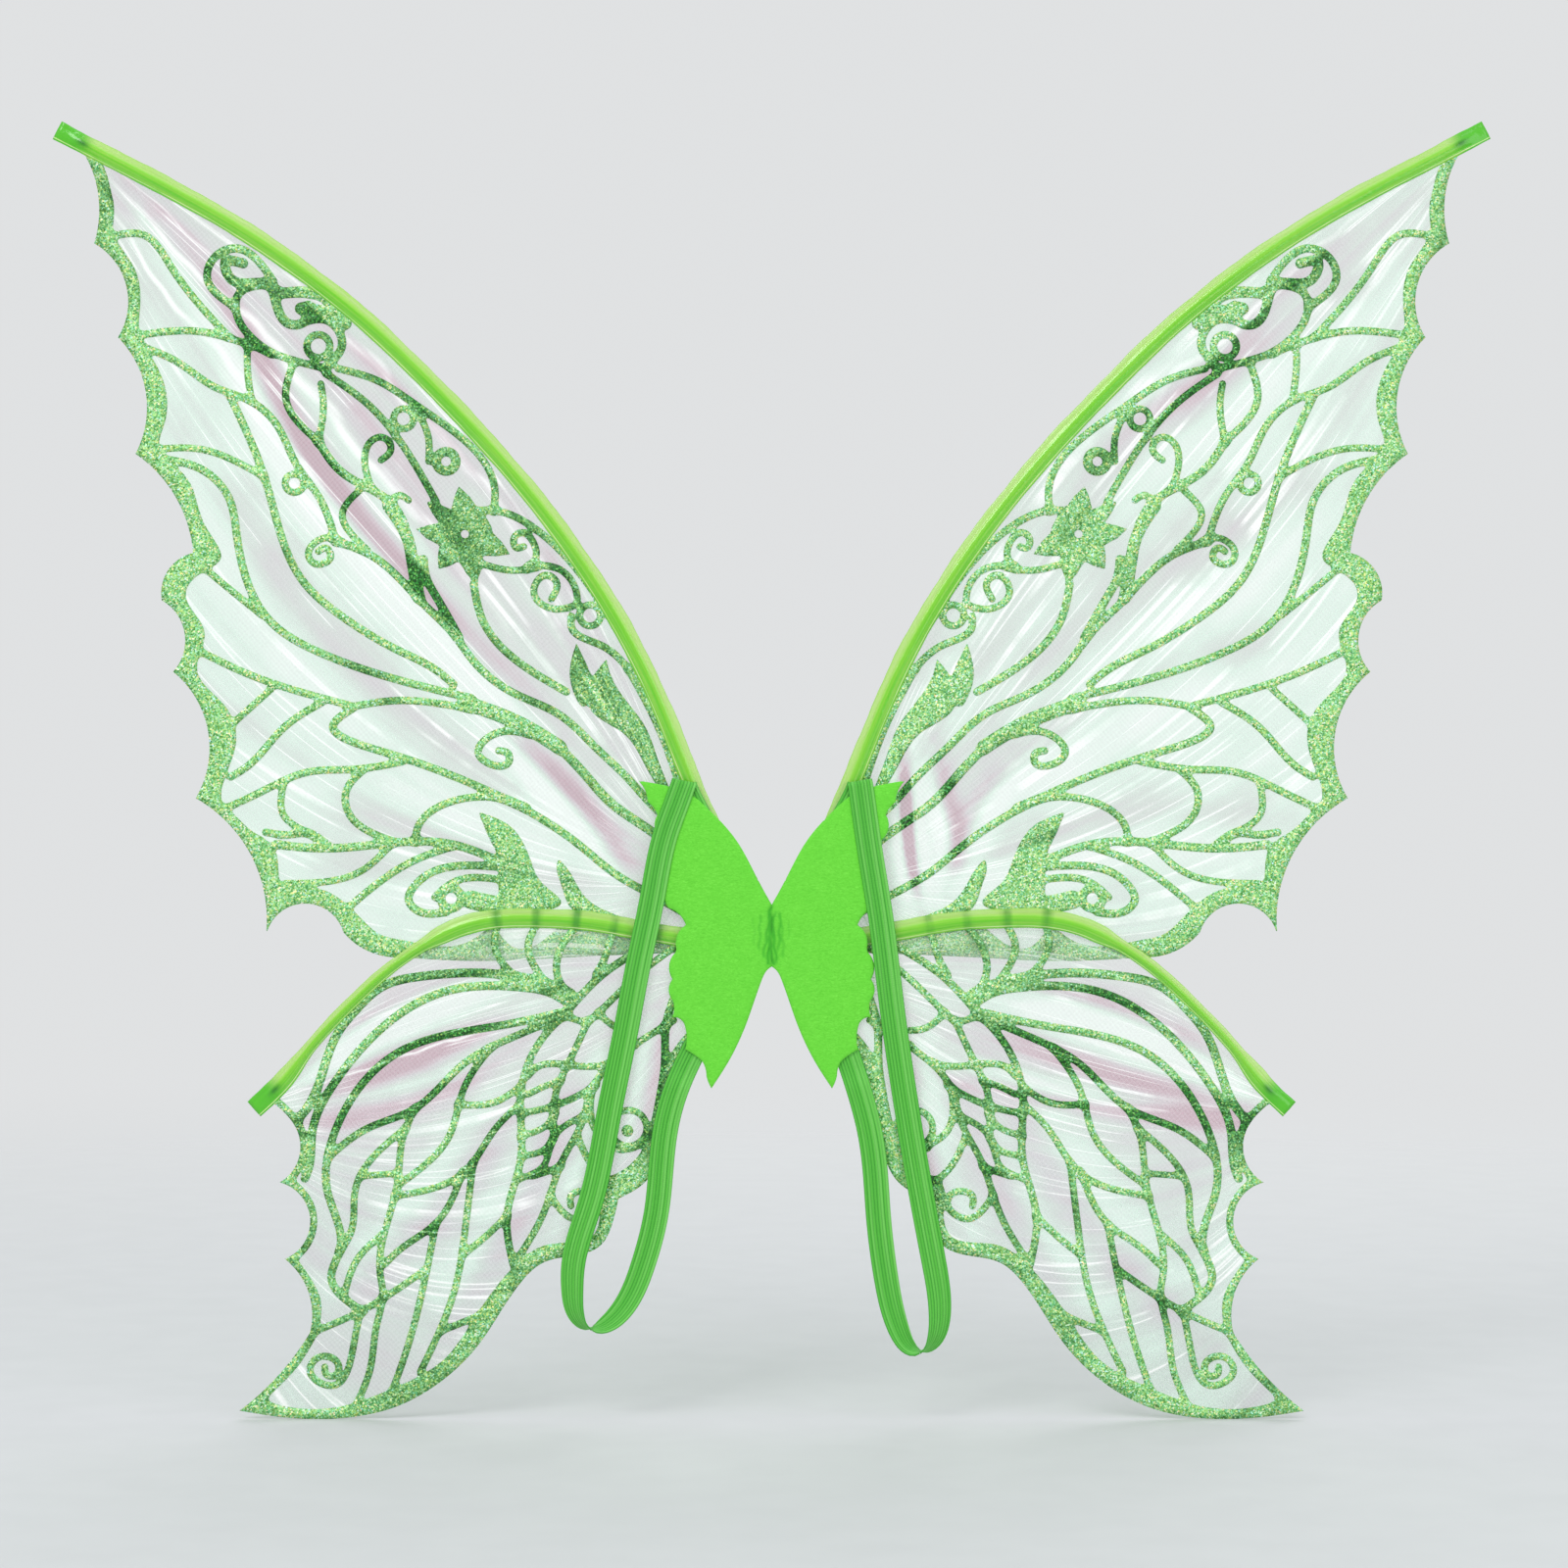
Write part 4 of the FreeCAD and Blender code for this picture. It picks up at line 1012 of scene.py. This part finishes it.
# ==== materials ====
class Shader:
    """Adds and wires the nodes of a material, or of the world."""

    def __init__(self, owner):
        self.owner = owner
        owner.use_nodes = True
        owner.node_tree.nodes.clear()

    def node(self, kind, out=0, **inputs):
        """One of a new node's outputs, by number or name.

        Inputs go by name, with _ for a space, or by number as i0, i1 and so on. A name that
        starts with set_ is a setting of the node itself.
        """
        tree = self.owner.node_tree
        made = tree.nodes.new("ShaderNode" + kind)
        for key, value in inputs.items():
            if key.startswith("set_"):
                setattr(made, key[4:], value)
                continue
            slot = made.inputs[int(key[1:]) if key[1:].isdigit() else key.replace("_", " ")]
            if isinstance(value, bpy.types.NodeSocket):
                tree.links.new(value, slot)
            elif slot.type == "RGBA":
                slot.default_value = (*value, 1)
            else:
                slot.default_value = value
        return made.outputs[out] if made.outputs else made

    def read(self, name, out="Fac"):
        """A number stored on the mesh."""
        return self.node("Attribute", out, set_attribute_name=name)

    def place(self):
        return self.read("place", "Vector")

    def math(self, kind, *values):
        """A maths node; more than two values are taken in from left to right."""
        result, *rest = values
        for value in rest:
            result = self.node("Math", set_operation=kind, i0=result, i1=value)
        return result if rest else self.node("Math", set_operation=kind, i0=result)

    def add(self, *values):
        return self.math("ADD", *values)

    def times(self, *values):
        return self.math("MULTIPLY", *values)

    def about(self, value, size):
        """A value from 0 to 1, turned into one from minus to plus half the size."""
        return self.node("Math", set_operation="MULTIPLY_ADD", i0=value, i1=size, i2=-size / 2)

    def away(self, value, place):
        """How far a value is from a place."""
        return self.math("ABSOLUTE", self.math("SUBTRACT", value, place))

    def span(self, value, low, high, out_low=0.0, out_high=1.0):
        """The value's run from low to high, as one from out_low to out_high."""
        return self.node("MapRange", i0=value, i1=low, i2=high, i3=out_low, i4=out_high)

    def vector(self, *parts):
        return self.node("CombineXYZ", **{f"i{k}": part for k, part in enumerate(parts)})

    def vector_math(self, kind, a, out=0, **inputs):
        return self.node("VectorMath", out, set_operation=kind, i0=a, **inputs)

    def noise(self, vector, scale, detail=2.0, **inputs):
        return self.node("TexNoise", Vector=vector, Scale=scale, Detail=detail, **inputs)

    def bump(self, height, strength, distance):
        """Normals of a surface whose height is given; distance is in metres."""
        return self.node("Bump", Strength=strength, Distance=distance, Height=height)

    def ramp(self, factor, stops):
        """A colour ramp: stops are (position, (r, g, b))."""
        out = self.node("ValToRGB", i0=factor)
        elements = out.node.color_ramp.elements
        while len(elements) < len(stops):
            elements.new(0.5)
        for element, (position, colour) in zip(elements, stops):
            element.position = position
            element.color = (*colour, 1)
        return out

    def mix(self, factor, a, b, kind="MIX"):
        """Colour a, or b where the factor is 1."""
        return self.node("Mix", 2, set_data_type="RGBA", set_blend_type=kind, i0=factor, i6=a,
                         i7=b)

    def surface(self, **inputs):
        """End with a Principled surface, and return the material."""
        return self.end(self.node("BsdfPrincipled", **inputs))

    def end(self, shade):
        self.node("OutputMaterial", i0=shade)
        return self.owner


def film_light(s):
    """How much painted light a point of a wing sends back, and the painted highlights of thin fold
    lines.
    """
    arc, run = s.read("arc"), s.read("run")
    broad = s.noise(s.place(), 0.028, 3.0)
    lines = []
    for across, along, detail in ((7.0, 1.3, 2.0), (26.0, 2.4, 2.0), (15.0, 1.1, 1.0)):
        spot = s.vector(s.times(arc, across), s.times(run, along), along)
        lines.append(s.noise(spot, 1.0, detail))
    lit = s.add(s.read("sheen"), s.about(broad, 0.50), s.about(lines[0], 0.50),
                s.about(lines[1], 0.30))
    # The glint is a painted highlight: thin lines from the noise, and the gleams along given
    # tension lines.
    glint = s.times(s.span(s.away(lines[2], 0.5), 0.034, 0.004), s.span(broad, 0.40, 0.54))
    sway = s.about(s.noise(s.vector(s.times(run, 8.0)), 1.0), 0.24)
    swayed = s.add(arc, sway)
    for film, gleams in GLEAMS.items():
        code = FILM_CODE[film]
        for line, start, end, half in gleams:
            gleam = s.times(s.span(s.away(swayed, line), half, half * 0.2),
                            s.span(run, code + start, code + start + 0.06),
                            s.span(run, code + end, code + end - 0.12),
                            s.span(lines[1], 0.3, 0.6, 0.35, 1.0))
            glint = s.math("MAXIMUM", glint, gleam)
    return lit, glint


def glitter_material(s):
    """Grains of their own brightness, hue and tilt, given painted shade or painted light by the
    film's light.
    """
    grain = s.node("TexVoronoi", "Color", Vector=s.place(), Scale=1.9)
    cell = s.node("SeparateColor", i0=grain).node.outputs
    lit, glint = film_light(s)
    # Painted shade and painted light: a shaded and a lit copy of the grains' colours, mixed by the
    # film's painted light and glints; the whitest lit grains are a painted sparkle.
    shaded_grains = s.ramp(cell[0], [
        (0.0, (0.003, 0.04, 0.004)), (0.45, (0.012, 0.14, 0.014)),
        (0.8, (0.04, 0.33, 0.04)), (1.0, (0.26, 0.75, 0.19))])
    lit_grains = s.ramp(cell[0], [
        (0.0, (0.06, 0.29, 0.06)), (0.3, (0.18, 0.54, 0.16)), (0.6, (0.34, 0.74, 0.29)),
        (0.85, (0.60, 0.93, 0.47)), (1.0, (1.0, 1.0, 0.94))])
    hue = s.ramp(cell[1], [
        (0.0, (0.65, 1.0, 1.3)), (0.3, (0.9, 1.0, 1.0)), (0.7, (1.05, 1.0, 0.8)),
        (1.0, (1.55, 1.05, 0.55))])
    colour = s.mix(s.add(s.span(lit, 0.30, 0.62), glint), shaded_grains, lit_grains)
    tilt = s.vector_math("SCALE", s.vector_math("SUBTRACT", grain, i1=(0.5, 0.5, 0.5)), Scale=0.7)
    normal = s.vector_math("ADD", s.node("NewGeometry", "Normal"), i1=tilt)
    return s.surface(Base_Color=s.mix(1.0, colour, hue, "MULTIPLY"), Roughness=0.35,
                     Metallic=0.15, Normal=s.vector_math("NORMALIZE", normal))


def film_material(s):
    """Painted reflection: pink where it sends little light back, aqua and white where it sends
    more.
    """
    lit, glint = film_light(s)
    # Painted reflection: the colour follows the film's painted light.
    colour = s.ramp(lit, [
        (0.02, (0.52, 0.28, 0.36)), (0.24, (0.62, 0.44, 0.51)), (0.38, (0.63, 0.61, 0.62)),
        (0.54, (0.66, 0.77, 0.68)), (0.72, (0.76, 0.96, 0.82)), (1.0, (0.92, 1.0, 0.94))])
    turned = s.node("Mapping", Vector=s.place(), Rotation=(0, 0.7, 0))
    warp, weft = (s.node("TexWave", "Fac", Vector=turned, Scale=0.21, Distortion=1.0,
                         Detail=1.0, set_bands_direction=axis) for axis in "XZ")
    weave = s.add(s.times(warp, 0.6), s.times(weft, 0.4))
    # The film covers more where its painted light and painted highlights are stronger.
    alpha = s.add(s.span(lit, 0.30, 0.95, 0.22, 0.38), s.span(lit, 0.40, 0.10, 0.0, 0.12),
                  s.times(glint, 0.5), s.about(weave, 0.10))
    in_shadow = s.node("LightPath", "Is Shadow Ray")
    alpha = s.times(alpha, s.read("veil"), s.span(in_shadow, 0.0, 1.0, 1.0, FILM_SHADE))
    # Painted highlights: the glints turn the colour white.
    return s.surface(Base_Color=s.mix(glint, colour, (1.0, 1.0, 0.99)), Alpha=alpha,
                     Normal=s.bump(weave, 0.25, 0.0003), Roughness=0.25, IOR=1.5)


def vinyl_material(s):
    """Green body with a pale outer strip, a seam line, dark veins and the rod's dark end."""
    across, tip = s.read("across"), s.read("tip")
    cloud = s.noise(s.place(), 0.10, 4.0)
    streak = s.noise(s.vector(s.times(across, 5.0), s.times(s.read("along"), 0.02)), 1.0)
    colour = s.ramp(s.span(s.add(across, s.about(cloud, 0.16)), -1.0, 1.0), [
        (0.0, (0.15, 0.66, 0.03)), (0.40, (0.16, 0.70, 0.018)), (0.60, (0.25, 0.77, 0.03)),
        (0.72, (0.50, 0.84, 0.18)), (0.86, (0.62, 0.89, 0.29)), (1.0, (0.42, 0.79, 0.13))])
    vein = s.times(s.read("vein"), s.span(cloud, 0.3, 0.6, 0.3, 0.8))
    seam = s.times(s.span(s.away(across, -0.80), 0.055, 0.02),
                   s.span(cloud, 0.3, 0.5, 0.35, 1.0))
    for factor, tint in ((s.span(streak, 0.38, 0.66, 0.0, 0.6), (0.42, 0.80, 0.09)),
                         (vein, (0.05, 0.36, 0.02)), (tip, (0.09, 0.55, 0.015)),
                         (seam, (0.76, 0.92, 0.40)),
                         (s.times(s.read("rod_end"), 0.9), (0.01, 0.16, 0.015))):
        colour = s.mix(factor, colour, tint)
    alpha = s.span(tip, 0.0, 1.0, s.span(across, 0.3, 0.6, 0.84, 0.72), 0.97)
    return s.surface(Base_Color=colour, Alpha=alpha,
                     Normal=s.bump(s.noise(s.place(), 0.35), 0.3, 0.0006), Roughness=0.14,
                     IOR=1.5, Coat_Weight=0.3, Coat_Roughness=0.08)


def felt_material(s):
    """Brushed fibres in soft blotches, with painted shade down in the crease."""
    brushed = s.node("Mapping", Vector=s.place(), Scale=(0.35, 1.0, 1.0))
    fibre = s.noise(brushed, 1.6, 6.0, Roughness=0.7, Distortion=1.2)
    colour = s.ramp(fibre, [(0.32, (0.115, 0.62, 0.030)), (0.5, (0.150, 0.72, 0.042)),
                            (0.68, (0.21, 0.82, 0.07))])
    blotch = s.noise(s.place(), 0.16, 3.0)
    colour = s.mix(s.span(blotch, 0.35, 0.65, 0.0, 0.22), colour, (0.12, 0.66, 0.03))
    # Painted shade: the deeper the crease, the darker the felt.
    colour = s.mix(s.span(s.read("crease"), 0.05, 0.6, 0.0, 0.85), colour, (0.04, 0.44, 0.018))
    return s.surface(Base_Color=colour, Roughness=0.92, Normal=s.bump(fibre, 0.5, 0.0004),
                     Sheen_Weight=0.25, Sheen_Roughness=0.5, Sheen_Tint=(0.6, 1.0, 0.45))


def elastic_material(s):
    """Painted shade in the grooves between ribs, with pale and dark lines along them and a fine
    knit.
    """
    along, across = s.read("along"), s.read("across")
    knit = s.math("SINE", s.add(s.times(along, 9.0), s.times(across, 2.5)))
    cloud = s.noise(s.place(), 1.1, 4.0)
    lines = s.noise(s.vector(s.times(across, 0.55), s.times(along, 0.004)), 1.0, 3.0)
    # Painted shade: darker from the ribs' tops down into the grooves.
    colour = s.mix(s.span(s.read("rib"), 0.15, 0.85), (0.030, 0.30, 0.016),
                   (0.095, 0.53, 0.045))
    for factor, tint in ((s.span(lines, 0.50, 0.66, 0.0, 0.75), (0.23, 0.70, 0.14)),
                         (s.span(lines, 0.46, 0.34, 0.0, 0.5), (0.035, 0.36, 0.018)),
                         (s.span(cloud, 0.3, 0.75, 0.0, 0.25), (0.12, 0.56, 0.05)),
                         (s.span(knit, -1.0, 1.0, 0.0, 0.1), (0.03, 0.34, 0.015))):
        colour = s.mix(factor, colour, tint)
    return s.surface(Base_Color=colour, Roughness=0.72, Normal=s.bump(knit, 0.2, 0.00025),
                     Sheen_Weight=0.15)


def wire_material(s):
    drawn = s.noise(s.place(), 0.8, 3.0)
    return s.surface(Base_Color=s.ramp(drawn, [(0.3, (0.05, 0.11, 0.05)),
                                               (0.7, (0.10, 0.18, 0.09))]),
                     Roughness=s.span(drawn, 0.3, 0.7, 0.25, 0.45), Metallic=0.8)


def glue_material(s):
    cloud = s.noise(s.node("TexCoord", "Object"), 140.0, 3.0)
    return s.surface(Base_Color=s.ramp(cloud, [(0.3, (0.55, 0.52, 0.36)),
                                               (0.7, (0.72, 0.70, 0.55))]),
                     Roughness=0.35, Normal=s.bump(cloud, 0.4, 0.0005))


def floor_material(s):
    """Pale floor that melts into the background with distance."""
    place = s.node("TexCoord", "Object")
    colour = s.ramp(s.noise(place, 40.0), [(0.3, (0.59, 0.605, 0.61)),
                                           (0.7, (0.605, 0.62, 0.625))])
    fade = s.node("MapRange", i0=s.vector_math("LENGTH", place, 1), i1=0.35, i2=1.8,
                  set_interpolation_type="SMOOTHSTEP")
    return s.end(s.node("MixShader", i0=fade, i1=s.node("BsdfDiffuse", Color=colour),
                        i2=s.node("BsdfTransparent")))


# ==== stage, in metres ====
def build_stage():
    """The floor under the wings, the soft light around them and three softboxes."""
    low, size = cad_box[0][2] / MM, 3300
    floor = new_mesh("studio_floor", [(-size, -size, low), (size, -size, low),
                                      (size, size, low), (-size, size, low)],
                     [(0, 1, 2, 3)])
    floor.data.materials.append(MATERIALS["floor"])

    world = bpy.data.worlds.new("studio_world")
    bpy.context.scene.world = world
    s = Shader(world)
    height = s.node("SeparateXYZ", "Z", i0=s.node("TexCoord", "Generated"))
    around = s.node("Background", i0=(0.96, 0.98, 1.0), i1=s.span(height, -0.6, 0.9, 0.45, 0.95))
    seen = s.node("Background", i0=(0.745, 0.757, 0.765))
    shade = s.node("MixShader", i0=s.node("LightPath", "Is Camera Ray"), i1=around, i2=seen)
    s.node("OutputWorld", i0=shade)

    for name, spot, size, power in (
            ("key_softbox", (-0.9, -1.5, 1.5), 1.0, 16),
            ("fill_softbox", (1.3, -1.7, 0.5), 1.4, 8),
            ("back_softbox", (0.5, 1.7, 1.3), 1.2, 12)):
        light = bpy.data.lights.new(name, "AREA")
        light.energy = power
        light.size = size
        lamp = bpy.data.objects.new(name, light)
        lamp.location = spot
        aim = Vector((0, 0, 0.06)) - lamp.location
        lamp.rotation_euler = aim.to_track_quat("-Z", "Y").to_euler()
        lamp.visible_camera = False
        bpy.context.scene.collection.objects.link(lamp)


def build_camera():
    """The photo's view: square on, 624 mm wide where the wings are."""
    lens, sensor, width = 85, 36, 0.624
    camera = bpy.data.cameras.new("photo_camera")
    camera.lens = lens
    camera.sensor_width = sensor
    eye = bpy.data.objects.new("photo_camera", camera)
    eye.location = (0.0049, -lens / sensor * width, 0.0612)
    eye.rotation_euler = (math.pi / 2, 0, 0)
    bpy.context.scene.collection.objects.link(eye)
    bpy.context.scene.camera = eye
    bpy.context.scene.view_settings.view_transform = "Standard"


MATERIALS = {
    look: make(Shader(bpy.data.materials.new(name))) for look, name, make in (
        ("glitter", "green_glitter", glitter_material),
        ("film", "iridescent_film", film_material),
        ("vinyl", "green_vinyl", vinyl_material),
        ("felt", "green_felt", felt_material),
        ("elastic", "ribbed_elastic", elastic_material),
        ("wire", "spring_wire", wire_material),
        ("glue", "hot_melt_glue", glue_material),
        ("floor", "pale_floor", floor_material))}

prints = {wing: build_films(wing) for wing in WINGS}
for wing, ink in prints.items():
    build_sleeves(wing, ink)
build_felts()
build_straps()
for side in SIDES:
    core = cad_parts[f"{side}_glue_core"]
    core.data.materials.clear()
    core.data.materials.append(MATERIALS["glue"])
build_stage()
build_camera()
bpy.context.view_layer.update()
